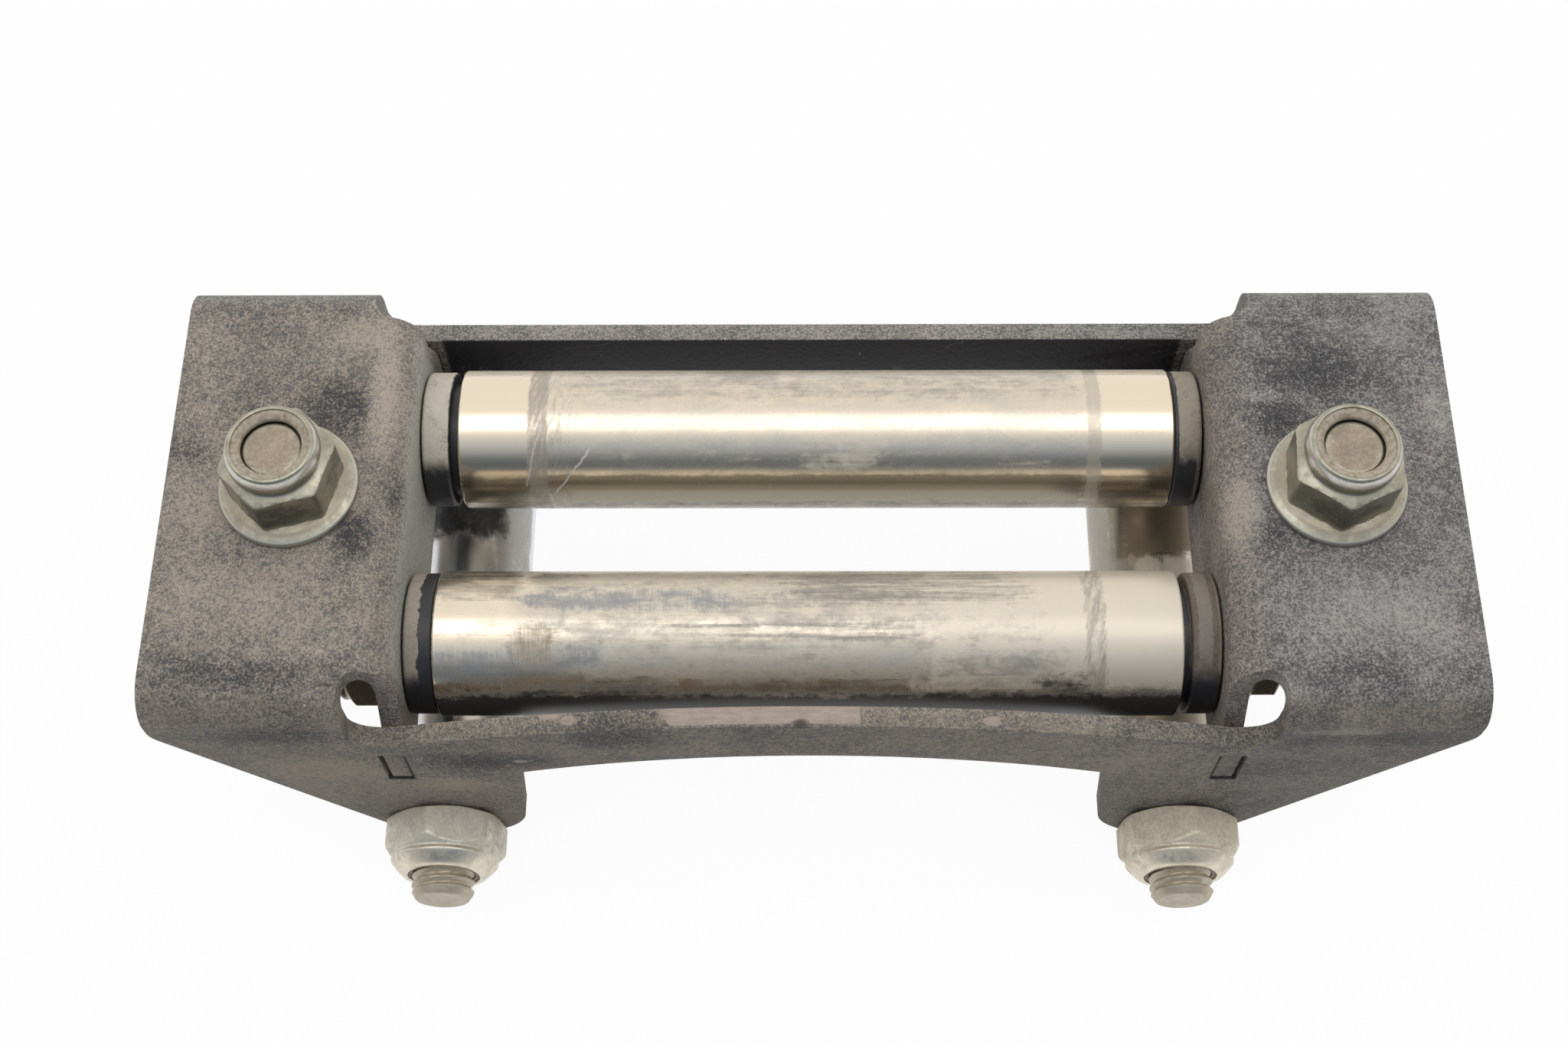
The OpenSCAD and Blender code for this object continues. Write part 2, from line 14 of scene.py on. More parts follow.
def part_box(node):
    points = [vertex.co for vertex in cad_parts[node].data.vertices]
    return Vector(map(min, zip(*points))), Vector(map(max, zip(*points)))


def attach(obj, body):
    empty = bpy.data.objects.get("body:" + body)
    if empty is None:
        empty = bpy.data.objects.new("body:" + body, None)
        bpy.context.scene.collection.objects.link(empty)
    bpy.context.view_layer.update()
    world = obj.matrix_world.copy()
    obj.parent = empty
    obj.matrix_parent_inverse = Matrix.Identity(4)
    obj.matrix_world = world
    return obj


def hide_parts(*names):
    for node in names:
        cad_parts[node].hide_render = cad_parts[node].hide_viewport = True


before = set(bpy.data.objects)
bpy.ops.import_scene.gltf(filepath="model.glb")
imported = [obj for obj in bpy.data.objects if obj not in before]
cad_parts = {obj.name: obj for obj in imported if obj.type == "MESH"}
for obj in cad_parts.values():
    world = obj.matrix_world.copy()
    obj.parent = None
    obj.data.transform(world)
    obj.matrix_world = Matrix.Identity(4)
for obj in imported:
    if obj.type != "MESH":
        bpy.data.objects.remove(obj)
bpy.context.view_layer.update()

LOG = logging.getLogger("fairlead")
MM = 0.001
Pair = tuple[float, float]
Triple = tuple[float, float, float]


# Shader expressions


class Sock:
    """An output socket that takes part in Python arithmetic."""

    def __init__(self, graph: "Graph", socket: bpy.types.NodeSocket) -> None:
        """Keeps the graph that new nodes go into."""
        self.graph = graph
        self.socket = socket

    def do(self, operation: str, first: "Value", second: "Value" = 0.0) -> "Sock":
        """Adds one Math node with a left and a right operand."""
        return self.graph.node("ShaderNodeMath", {"operation": operation}, {0: first, 1: second})

    def __add__(self, other: "Value") -> "Sock":
        """Sum."""
        return self.do("ADD", self, other)

    def __radd__(self, other: "Value") -> "Sock":
        """Sum, number first."""
        return self.do("ADD", other, self)

    def __sub__(self, other: "Value") -> "Sock":
        """Difference."""
        return self.do("SUBTRACT", self, other)

    def __rsub__(self, other: "Value") -> "Sock":
        """Difference, number first."""
        return self.do("SUBTRACT", other, self)

    def __mul__(self, other: "Value") -> "Sock":
        """Product."""
        return self.do("MULTIPLY", self, other)

    def __neg__(self) -> "Sock":
        """Opposite sign."""
        return self.do("MULTIPLY", self, -1.0)

    def __abs__(self) -> "Sock":
        """Size without sign."""
        return self.do("ABSOLUTE", self)

    def over(self, other: "Value") -> "Sock":
        """The larger of two values."""
        return self.do("MAXIMUM", self, other)

    def degrees(self, other: "Sock") -> "Sock":
        """Angle in degrees whose sine goes with this value and whose cosine goes with the other."""
        return self.do("ARCTAN2", self, other) * math.degrees(1.0)

    def towards(self, target: float, share: "Value") -> "Sock":
        """Moves from this value to a target by a share."""
        return self + (target - self) * share

    def step(self, low: float, high: float) -> "Sock":
        """Smooth step from 0 at low to 1 at high, or falling where low is above high.

        Args:
            low: value that gives 0.
            high: value that gives 1.

        Returns:
            The stepped value, between 0 and 1.
        """
        falling = low > high
        ends = (high, low) if falling else (low, high)
        stepped = self.graph.node(
            "ShaderNodeMapRange",
            {"interpolation_type": "SMOOTHSTEP"},
            {"Value": self, "From Min": ends[0], "From Max": ends[1]},
        )
        return 1.0 - stepped if falling else stepped

    def between(self, span: Pair, soft: float) -> "Sock":
        """1 inside a span, 0 outside, with edges that reach the soft length to either side."""
        return self.step(span[0] - soft, span[0] + soft) * self.step(span[1] + soft, span[1] - soft)


Value = Union[Sock, float]
Colour = Union[Sock, Triple]
Key = Union[str, int]


def rgba(colour: Colour) -> Any:
    """A colour with its alpha, or the socket as it is."""
    return colour if isinstance(colour, Sock) else (*colour, 1.0)


class Graph:
    """A node tree that is built by expressions."""

    MIX_COLOUR = {"factor": 0, "a": 6, "b": 7, "out": 2}

    def __init__(self, tree: bpy.types.NodeTree, source: str, scale: float) -> None:
        """Empties a tree and reads its coordinates.

        Args:
            tree: the tree.
            source: output of the Texture Coordinate node.
            scale: factor on the coordinates.
        """
        self.tree = tree
        tree.nodes.clear()
        coords = self.node("ShaderNodeTexCoord", {}, {}, source)
        self.place = self.vector("SCALE", coords, Scale=scale)
        self.x, self.y, self.z = (
            self.node("ShaderNodeSeparateXYZ", {}, {0: self.place}, axis) for axis in range(3)
        )

    def node(self, kind: str, settings: Mapping[str, Any], links: Mapping[Key, Any], out: Key = 0) -> Sock:
        """Adds any node.

        Args:
            kind: the node's type.
            settings: its properties, set before its sockets.
            links: values or sockets for its inputs.
            out: the output that is wanted.

        Returns:
            That output.
        """
        made = self.tree.nodes.new(kind)
        for name, value in settings.items():
            setattr(made, name, value)
        for key, value in links.items():
            if isinstance(value, Sock):
                self.tree.links.new(value.socket, made.inputs[key])
            else:
                made.inputs[key].default_value = value
        return Sock(self, made.outputs[out])

    def vector(self, operation: str, *parts: Union[Sock, Triple], **named: float) -> Sock:
        """Adds a Vector Math node.

        Args:
            operation: its operation.
            parts: its vector inputs in order.
            named: its named inputs.

        Returns:
            Its vector, or its value for LENGTH.
        """
        out = "Value" if operation == "LENGTH" else "Vector"
        links: dict[Key, Any] = dict(enumerate(parts))
        links.update(named)
        return self.node("ShaderNodeVectorMath", {"operation": operation}, links, out)

    def noise(
        self,
        size: Union[float, Triple],
        detail: float = 2.0,
        rough: float = 0.5,
        warp: float = 0.0,
        shift: Triple = (0.0, 0.0, 0.0),
        tilt: float = 0.0,
    ) -> Sock:
        """Cloudy noise whose spots have a given size.

        Args:
            size: spot size in millimetres, the same all round or along each axis.
            detail: octaves.
            rough: strength of the small octaves.
            warp: distortion.
            shift: offset of the pattern in millimetres.
            tilt: turn of the pattern about the front axis in degrees.

        Returns:
            Noise about 0, mostly between -0.25 and 0.25.
        """
        sizes = (size, size, size) if isinstance(size, (int, float)) else size
        moved = self.vector("ADD", self.place, shift)
        if tilt:
            links = {"Vector": moved, "Angle": math.radians(tilt)}
            moved = self.node("ShaderNodeVectorRotate", {"rotation_type": "Z_AXIS"}, links)
        scaled = self.vector("DIVIDE", moved, sizes)
        links = {"Vector": scaled, "Scale": 1.0, "Detail": detail, "Roughness": rough, "Distortion": warp}
        return self.node("ShaderNodeTexNoise", {}, links) - 0.5

    def specks(self, size: float, radius: float) -> Sock:
        """Small round dots scattered one to a cell.

        Args:
            size: cell size in millimetres.
            radius: dot radius as a share of the cell.

        Returns:
            1 in the dots, 0 between them.
        """
        scaled = self.vector("DIVIDE", self.place, (size, size, size))
        cell = self.node("ShaderNodeTexVoronoi", {}, {"Vector": scaled, "Scale": 1.0}, "Distance")
        return cell.step(radius, radius * 0.5)

    def mix(self, factor: Value, first: Colour, second: Colour) -> Sock:
        """Mixes two colours.

        Args:
            factor: share of the second colour.
            first: colour at 0.
            second: colour at 1.

        Returns:
            The mixed colour.
        """
        slots = self.MIX_COLOUR
        links = {slots["factor"]: factor, slots["a"]: rgba(first), slots["b"]: rgba(second)}
        return self.node("ShaderNodeMix", {"data_type": "RGBA", "clamp_factor": True}, links, slots["out"])


class Paint(Graph):
    """The node tree of one material, with its object coordinates in millimetres."""

    def __init__(self, name: str) -> None:
        """Starts a material of that name."""
        self.material = bpy.data.materials.new(name)
        self.material.use_nodes = True
        super().__init__(self.material.node_tree, "Object", 1.0 / MM)

    def bump(self, height: Sock, depth: float, strength: float) -> Sock:
        """Turns a relief between 0 and 1 into a normal, a full step being the depth in millimetres."""
        links = {"Strength": strength, "Distance": depth * MM, "Height": height}
        return self.node("ShaderNodeBump", {}, links)

    def finish(self, **inputs: Any) -> bpy.types.Material:
        """Closes the tree with one Principled shader, its sockets named with underscores for spaces."""
        links = {name.replace("_", " "): value for name, value in inputs.items()}
        return self.show(self.node("ShaderNodeBsdfPrincipled", {}, links))

    def show(self, shader: Sock) -> bpy.types.Material:
        """Sends a shader to the material's surface.

        Args:
            shader: the finished shader.

        Returns:
            The material.
        """
        out = self.tree.nodes.new("ShaderNodeOutputMaterial")
        self.tree.links.new(shader.socket, out.inputs["Surface"])
        return self.material


# Places on the part


@dataclass(frozen=True)
class Axle:
    """An axle of the part: the direction it runs in and where it lies, in millimetres."""

    level: bool
    across: float
    z: float

    def along(self, g: Graph) -> Sock:
        """Place along the axle."""
        return g.x if self.level else g.y

    def around(self, g: Graph) -> Sock:
        """Angle round the axle in degrees, 90 towards the front of the part.

        On a level axle 0 faces down and 180 up the part; on an upright one 0 faces right.
        """
        side = -(g.y - self.across) if self.level else g.x - self.across
        return (g.z - self.z).degrees(side)

    def stretched(self, along: float, round_it: float) -> Triple:
        """Noise sizes for a pattern drawn out along the axle or round it."""
        return (along, round_it, round_it) if self.level else (round_it, along, round_it)


@dataclass(frozen=True)
class Patch:
    """A soft patch on a surface, in millimetres."""

    centre: Triple
    radii: Triple
    weight: float

    def weigh(self, g: Graph, core: float) -> Sock:
        """How strongly the patch shows at a place: fully at its core, no more at its radii.

        Args:
            g: the node tree.
            core: share of the reach that has the full weight.

        Returns:
            The weight.
        """
        away = g.vector("SUBTRACT", g.place, self.centre)
        share = g.vector("DIVIDE", away, self.radii)
        return g.vector("LENGTH", share).step(1.0, core) * self.weight


def strongest(g: Graph, patches: Sequence[Patch], core: float) -> Sock:
    """The weight of whichever patch is strongest at a place.

    Args:
        g: the node tree.
        patches: the patches.
        core: share of each patch's reach that has its full weight.

    Returns:
        The weight.
    """
    found = g.x * 0.0
    for patch in patches:
        found = found.over(patch.weigh(g, core))
    return found


# Finishes


@dataclass(frozen=True)
class PowderCoat:
    """Worn black powder coat with dust rubbed into its grain."""

    name: str = "powder_coat"
    coat: Triple = (0.043, 0.044, 0.047)
    faded: Triple = (0.125, 0.123, 0.122)
    # The coat under the top strip, darker than elsewhere: painted shade
    clean: Triple = (0.020, 0.020, 0.021)
    tan: Triple = (0.440, 0.374, 0.305)
    grey: Triple = (0.400, 0.390, 0.372)
    green: Triple = (0.440, 0.435, 0.390)
    earth: Triple = (0.360, 0.300, 0.225)
    metal: Triple = (0.470, 0.395, 0.340)
    streak: Triple = (0.250, 0.195, 0.165)
    speck: Triple = (0.660, 0.620, 0.560)
    scratch: Triple = (0.400, 0.360, 0.310)
    dent: Triple = (0.050, 0.045, 0.040)
    # Painted shade in the gaps round the ears' tabs
    dirt: Triple = (0.022, 0.020, 0.018)
    patches: tuple[Patch, ...] = (
        Patch((-63.6, 15.0, 1.5), (3.8, 14.0, 6.0), 0.55),
        Patch((-67.5, 25.5, 3.0), (8.0, 4.8, 5.0), 0.30),
        Patch((-88.0, -3.0, 3.0), (10.0, 9.0, 5.0), 0.24),
        Patch((-82.0, -18.0, 3.0), (18.0, 9.0, 5.0), 0.14),
        Patch((-70.5, 12.5, 3.0), (9.5, 8.5, 5.0), -0.36),
        Patch((-66.3, -8.5, 3.0), (5.0, 6.5, 5.0), -0.42),
        Patch((-60.5, 0.4, 0.0), (3.0, 6.0, 4.0), -0.26),
        Patch((-92.5, 6.5, 3.0), (5.0, 5.0, 4.0), -0.25),
        Patch((-78.0, -29.5, 2.0), (24.0, 4.0, 5.0), -0.24),
        Patch((62.0, -4.0, 2.0), (4.4, 10.0, 6.0), 0.46),
        Patch((67.5, 14.8, 3.0), (7.0, 1.6, 4.0), 0.22),
        Patch((82.0, 25.5, 3.0), (11.0, 4.5, 4.0), 0.12),
        Patch((92.2, 11.5, 3.0), (4.0, 7.0, 4.0), 0.26),
        Patch((82.0, -20.0, 3.0), (16.0, 8.0, 4.0), 0.24),
        Patch((66.5, -31.0, 1.0), (5.0, 3.5, 4.0), 0.26),
        Patch((77.0, 19.0, 3.0), (15.0, 9.0, 5.0), -0.24),
        Patch((69.0, 10.5, 3.0), (7.0, 5.5, 5.0), -0.34),
        Patch((65.0, -8.4, 3.0), (4.5, 4.5, 4.0), -0.24),
        Patch((78.0, -29.5, 2.0), (22.0, 4.0, 5.0), -0.16),
        Patch((-62.0, -35.5, -27.0), (22.0, 4.0, 14.0), 0.12),
        Patch((44.0, -35.5, -14.0), (44.0, 4.0, 9.0), 0.10),
        Patch((-30.0, -35.0, -6.0), (24.0, 4.0, 8.0), -0.22),
        Patch((-53.8, -35.5, -26.2), (7.5, 2.5, 4.0), 0.45),
        Patch((-73.0, -35.5, -20.0), (14.0, 2.5, 7.0), 0.30),
        Patch((-76.0, -35.3, -6.0), (17.0, 3.0, 5.5), -0.30),
        Patch((-45.0, -35.5, -16.5), (15.0, 2.5, 5.0), -0.35),
        Patch((80.0, -35.3, -7.0), (18.0, 3.0, 5.5), -0.25),
        Patch((75.5, -35.2, -4.4), (9.0, 3.0, 1.8), 0.45),
        Patch((66.0, -35.5, -19.0), (11.0, 2.5, 5.0), -0.20),
    )
    chips: tuple[Patch, ...] = (
        Patch((-37.4, -32.7, -5.0), (2.4, 1.0, 1.4), 1.0),
        Patch((-34.6, -33.6, -4.6), (1.6, 1.2, 1.2), 0.8),
        Patch((25.6, -34.2, -3.3), (2.2, 1.2, 1.2), 0.8),
        Patch((-42.6, -35.5, -16.4), (1.7, 0.8, 1.0), 0.7),
    )
    nick: Patch = Patch((-1.6, -35.2, -1.9), (1.8, 0.9, 1.2), 1.0)
    patch_core: float = 0.15
    ear_x: Pair = (-62.4, -58.0)
    bend_x: Pair = (57.5, 64.0)
    lip_y: Pair = (-35.1, -32.0)
    lip_z: Pair = (-2.9, -0.8)
    slot_x: Pair = (59.45, 63.30)
    slot_z: Pair = (-23.90, -14.10)
    bare: Pair = (-21.0, 6.8)

    def level(self, g: Paint) -> Sock:
        """How thick the dust lies, before its grain.

        Args:
            g: the material's tree.

        Returns:
            The level, about 0.5 on an evenly dusty plate.
        """
        cloud = g.noise(15.0, 5.0, 0.62, 0.5)
        mottle = g.noise(3.2, 4.0, 0.62, 0.3, (7.0, 3.0, 1.0))
        level = 0.46 + cloud * 0.80 + mottle * 0.32 - g.x.step(20.0, 62.0) * 0.06
        for patch in self.patches:
            level = level + patch.weigh(g, self.patch_core)
        return level + self.ear_face(g) * 0.44

    def slot_gap_shade(self, g: Paint) -> Sock:
        """Weight of the painted shade along the gaps round the ears' tabs, on the outer faces of the flanges.

        Args:
            g: the material's tree.

        Returns:
            The weight, between 0 and 1.
        """
        side, (inner, outer), (rear, front) = abs(g.x), self.slot_x, self.slot_z
        along = side.between((inner - 0.25, inner + 0.3), 0.12) * g.z.between((rear - 0.3, front), 0.12)
        rear_end = g.z.between((rear - 0.35, rear + 0.3), 0.12)
        ends = rear_end.over(g.z.between((front - 0.15, front + 0.1), 0.08))
        return along.over(ends * side.between((inner, outer), 0.1)) * abs(g.y).step(34.5, 34.9)

    def ear_face(self, g: Paint) -> Sock:
        """Weight of the inner face of the left ear."""
        return g.x.between(self.ear_x, 0.8) * g.z.step(1.5, -2.5) * abs(g.y).step(29.0, 26.0)

    def material(self) -> bpy.types.Material:
        """Builds the finish.

        Returns:
            The material.
        """
        g = Paint(self.name)
        pebble = g.noise(0.85, 2.0, 0.5)
        grain = g.noise(2.2, 6.0, 0.85, 0.2) * 0.28 + g.noise(0.36, 3.0, 0.75) * 1.5 + pebble * 0.45
        # Under the top strip the dust is taken away and the coat is painted darker than elsewhere: painted
        # shade there
        shaded_under_strip = g.y.step(28.4, 29.0) * g.y.step(32.8, 32.3)
        inside = shaded_under_strip * abs(g.x).step(58.6, 57.6) * g.z.step(-8.5, -10.0)
        level = self.level(g) - inside * 1.5
        settled = (level + grain * 2.0).step(-0.10, 1.12)
        base = g.mix(inside, g.mix(level.step(0.0, 0.7), self.coat, self.faded), self.clean)
        bend = g.x.between(self.bend_x, 1.5)
        hue = g.mix(g.x.step(20.0, 66.0) * (0.75 - bend * 0.6), self.tan, self.grey)
        hue = g.mix(g.y.step(30.0, 33.0) * 0.6, hue, self.green)
        hue = g.mix(g.y.step(-31.5, -34.0) * 0.8, hue, self.earth)
        dusty = g.mix(settled * 0.92, base, g.mix(self.ear_face(g), hue, self.green))
        pale = g.specks(5.2, 0.045) * g.noise(7.0).step(0.02, 0.10)
        dotted = g.mix(pale * 0.7, dusty, self.speck)
        lines = abs(g.noise((26.0, 1.8, 8.0), 2.0, 0.5, 0.8)).step(0.006, 0.001)
        scratched = g.mix(lines * g.noise(12.0).step(0.04, 0.14) * 0.3, dotted, self.scratch)
        worn, nick = self.bare_metal(g, grain)
        streaked = g.mix(g.noise((2.5, 0.5, 2.5), 3.0) + 0.4, self.metal, self.streak)
        colour = g.mix(nick * 0.85, g.mix(worn, scratched, streaked), self.dent)
        return g.finish(
            # Painted shade: dark lines along the gaps round the ears' tabs
            Base_Color=g.mix(self.slot_gap_shade(g) * 0.85, colour, self.dirt),
            Roughness=0.58 + settled * 0.28 - worn * 0.12,
            Metallic=worn * 0.3,
            Specular_IOR_Level=0.25,
            Normal=g.bump(grain * 0.4 + pebble * 0.8 + 0.5 - worn * 0.5 - nick * 3.0, 0.15, 0.9),
        )

    def bare_metal(self, g: Paint, grain: Sock) -> tuple[Sock, Sock]:
        """The rubbed front edge of the lip, its chips and its nick.

        Args:
            g: the material's tree.
            grain: fine noise.

        Returns:
            The weight of bare metal and that of the nick.
        """
        left = g.x + g.noise(2.6, 4.0, 0.65) * 6.0 + (g.y + 34.0) * 1.2
        start, end = self.bare
        lip = left.step(start - 0.2, start + 0.2) * g.x.step(end + 0.15, end - 0.15)
        lip = lip * g.y.between(self.lip_y, 0.12) * g.z.between(self.lip_z, 0.15)
        chip = strongest(g, self.chips, 0.5)
        worn = lip.over((chip + grain * 0.9).step(0.35, 0.75) * chip)
        return worn, self.nick.weigh(g, self.patch_core)


class Stain(Enum):
    """What lies on a roller's plating; soot and grime also stand for painted shade and dark reflections."""

    CREAM = "cream"
    DULL = "dull"
    SOOT_AND_SHADE = "soot"
    WORN = "worn"
    SCUFF = "scuff"
    BAND = "band"
    RUST = "rust"
    STREAK = "streak"
    GRIME_AND_SHADE = "grime_and_shade"


@dataclass(frozen=True)
class Film:
    """How a stain changes the plating: colour, metal share, roughness and how far it covers."""

    colour: Triple
    metal: float
    rough: float
    cover: float


FILMS: Mapping[Stain, Film] = {
    Stain.CREAM: Film((0.74, 0.665, 0.545), 0.25, 0.40, 0.85),
    Stain.DULL: Film((0.335, 0.315, 0.275), 0.55, 0.36, 0.75),
    # The soot and grime films also paint shade and dark reflections on the tubes
    Stain.SOOT_AND_SHADE: Film((0.26, 0.235, 0.18), 0.90, 0.24, 0.90),
    Stain.WORN: Film((0.30, 0.31, 0.325), 0.55, 0.36, 0.80),
    Stain.SCUFF: Film((0.34, 0.31, 0.265), 0.40, 0.44, 0.80),
    Stain.BAND: Film((0.52, 0.475, 0.40), 0.60, 0.36, 0.75),
    Stain.RUST: Film((0.27, 0.20, 0.125), 0.25, 0.46, 0.65),
    Stain.STREAK: Film((0.21, 0.195, 0.17), 0.35, 0.42, 0.65),
    Stain.GRIME_AND_SHADE: Film((0.022, 0.023, 0.024), 0.10, 0.40, 0.96),
}


@dataclass(frozen=True)
class Mark:
    """A stain or a patch of painted shade on a roller: its span along the axle in millimetres and round it in
    degrees.
    """

    stain: Stain
    along: Pair
    around: Pair
    soft: Pair
    weight: float

    def weigh(self, along: Sock, around: Sock, ragged: Sock) -> Sock:
        """How strongly the stain lies at a place.

        Args:
            along: place along the axle.
            around: angle round the axle.
            ragged: noise that frays the edges.

        Returns:
            The weight, between 0 and 1.
        """
        lengthwise = (along + ragged * self.soft[0] * 2.0).between(self.along, self.soft[0])
        sideways = (around + ragged * self.soft[1] * 1.2).between(self.around, self.soft[1])
        return lengthwise * sideways * self.weight


@dataclass(frozen=True)
class Scratch:
    """A scratch from one place on a roller to another: along the axle and round it."""

    start: Pair
    end: Pair
    width: float
    weight: float

    def weigh(self, along: Sock, around: Sock, ragged: Sock) -> Sock:
        """How strongly the scratch shows at a place: full on the line between its ends.

        Args:
            along: place along the axle.
            around: angle round the axle.
            ragged: noise that bends the line.

        Returns:
            The weight, between 0 and 1.
        """
        climb = (self.end[0] - self.start[0]) / (self.end[1] - self.start[1])
        off = along - (around - self.start[1]) * climb - self.start[0] + ragged * self.width * 6.0
        span = (min(self.start[1], self.end[1]), max(self.start[1], self.end[1]))
        return abs(off).step(self.width, self.width * 0.3) * around.between(span, 2.0) * self.weight


@dataclass(frozen=True)
class RollerZinc:
    """Yellowish zinc plating of a roller tube, scuffed where the rope runs."""

    name: str
    axle: Axle
    marks: tuple[Mark, ...]
    scratches: tuple[Scratch, ...] = ()
    worn_span: Pair = (-41.0, 42.0)
    wear: float = 0.5
    nicked: float = 0.45
    clean: Triple = (0.845, 0.735, 0.58)
    hazed: Triple = (0.60, 0.555, 0.475)
    spotted: Triple = (0.30, 0.23, 0.15)
    scraped: Triple = (0.80, 0.775, 0.72)

    def patterns(self, g: Paint) -> dict[Stain, Sock]:
        """The grain with which each stain lies on the plating.

        Args:
            g: the material's tree.

        Returns:
            A noise for each stain, mostly between -0.6 and 0.6.
        """
        hoop = g.noise(self.axle.stretched(0.28, 5.0), 3.0, 0.65) * 2.6
        wisps = g.noise(self.axle.stretched(0.75, 4.5), 4.0, 0.62, 0.9, (3.0, 8.0, 2.0), 14.0) * 2.8
        lines = g.noise(self.axle.stretched(15.0, 0.75), 4.0, 0.65, 0.2) * 2.6
        cloud = g.noise(self.axle.stretched(4.2, 2.4), 5.0, 0.66, 0.5) * 2.4
        fine = g.noise(0.9, 4.0, 0.7) * 2.2
        frayed = 1.0 if self.axle.level else 0.4
        return {
            Stain.CREAM: cloud * 0.7 + lines * 0.5 + fine * 0.3,
            Stain.DULL: cloud * 0.7 + lines * 0.45 + fine * 0.35,
            Stain.SOOT_AND_SHADE: cloud * 0.4 + lines * 0.4,
            Stain.WORN: cloud * 0.8 + hoop * 0.35 + fine * 0.3,
            Stain.SCUFF: wisps * 0.7 + fine * 0.4,
            Stain.BAND: hoop * 0.6 + fine * 0.3,
            Stain.RUST: hoop * 0.6 + cloud * 0.5,
            Stain.STREAK: lines * 0.9 + fine * 0.3 + cloud * 0.3,
            Stain.GRIME_AND_SHADE: cloud * 0.35 + (fine * 0.25 + lines * 0.2) * frayed,
        }

    def material(self) -> bpy.types.Material:
        """Builds the finish.

        Returns:
            The material.
        """
        g = Paint(self.name)
        along, around = self.axle.along(g), self.axle.around(g)
        pattern = self.patterns(g)
        cloud = g.noise(self.axle.stretched(7.0, 3.0), 5.0, 0.66, 0.5, (9.0, 4.0, 6.0)) * 2.2
        fine = g.noise(0.8, 4.0, 0.7) * 2.0
        ragged = g.noise(2.2, 4.0, 0.64, 0.4)
        span = (along + cloud * 2.5).between(self.worn_span, 1.2)
        film = span * (cloud * 0.55 + fine * 0.3 + self.wear).step(0.0, 1.0)
        spots = g.specks(2.3, 0.10) * (cloud * 0.8 + fine * 0.4).step(0.1, 0.5)
        colour = g.mix(spots * 0.5, g.mix(film, self.clean, self.hazed), self.spotted)
        metal, rough = 1.0 - film * 0.12, (film + fine * 0.18) * 0.11 + 0.20
        relief = fine * 0.18
        for stain, film_of in FILMS.items():
            weight = fine * 0.0
            for mark in (m for m in self.marks if m.stain is stain):
                weight = weight.over(mark.weigh(along, around, ragged))
            laid = (weight * 1.7 - 0.85 + pattern[stain]).step(-0.45, 0.45)
            cover = laid * weight.step(0.0, 0.3) * film_of.cover
            colour = g.mix(cover, colour, film_of.colour)
            metal, rough = metal.towards(film_of.metal, cover), rough.towards(film_of.rough, cover)
            relief = relief + cover * 0.1
        nicks = g.noise(self.axle.stretched(0.17, 4.5), 2.0, 0.6, 0.3, (5.0, 1.0, 2.0)).step(0.15, 0.24)
        nicks = nicks * span * (cloud + fine * 0.5).step(-0.1, 0.5) * self.nicked
        for scratch in self.scratches:
            nicks = nicks.over(scratch.weigh(along, around, ragged))
        return g.finish(
            Base_Color=g.mix(nicks * 0.6, colour, self.scraped),
            Metallic=metal - nicks * 0.45,
            Roughness=rough + nicks * 0.2,
            Normal=g.bump(relief + 0.5, 0.015, 0.5),
        )


@dataclass(frozen=True)
class Dusting:
    """Dust on a bush: its span along the axle and round it, its colour and how ragged it ends."""

    along: Pair
    around: Pair
    colour: Triple
    ragged: float
    weight: float = 1.0


@dataclass(frozen=True)
class BushPlastic:
    """Black bush plastic with dust on its rim."""

    name: str
    axle: Axle
    dust: tuple[Dusting, ...] = ()
    plastic: Triple = (0.024, 0.024, 0.026)
    rubbed: Triple = (0.16, 0.15, 0.135)
    grit: Triple = (0.42, 0.38, 0.32)

    def material(self) -> bpy.types.Material:
        """Builds the finish.

        Returns:
            The material.
        """
        g = Paint(self.name)
        along, around = self.axle.along(g), self.axle.around(g)
        edge = g.noise(1.9, 4.0, 0.55, 0.8)
        cloud = g.noise(2.6, 4.0, 0.65)
        fine = g.noise(0.4, 3.0, 0.65)
        colour = g.mix((cloud + fine * 0.5).step(-0.1, 0.6) * 0.25, self.plastic, self.rubbed)
        total = fine * 0.0
        for layer in self.dust:
            reach = (along + edge * layer.ragged * 3.0).between(layer.along, 0.12)
            reach = reach * (around + edge * 16.0).between(layer.around, 9.0)
            cover = reach * (cloud * 0.8 + fine * 0.7 + 0.82).step(0.2, 0.9) * layer.weight
            colour = g.mix(cover, colour, layer.colour)
            total = total.over(cover)
        return g.finish(
            Base_Color=g.mix((fine * 1.2).step(0.0, 0.5) * total * 0.3, colour, self.grit),
            Roughness=total * 0.42 + 0.42,
            Normal=g.bump(fine * 0.6 + total * 0.6 + 0.3, 0.06, 0.6),
        )


@dataclass(frozen=True)
class Rim:
    """A ring of wear, dust or painted highlight round an axis that faces the front, in millimetres."""

    centre: Pair
    radii: Pair
    heights: Pair
    colour: Triple
    metal: float
    weight: float

    def weigh(self, g: Paint, ragged: Sock) -> Sock:
        """How strongly the ring shows at a place.

        Args:
            g: the material's tree.
            ragged: noise that breaks the ring.

        Returns:
            The weight, between 0 and 1.
        """
        away = g.vector("SUBTRACT", g.place, (*self.centre, 0.0))
        reach = g.vector("LENGTH", g.vector("MULTIPLY", away, (1.0, 1.0, 0.0)))
        inside = reach.between(self.radii, 0.25) * g.z.between(self.heights, 0.25)
        return (inside * 1.2 - 0.6 + ragged).step(-0.4, 0.4) * inside * self.weight


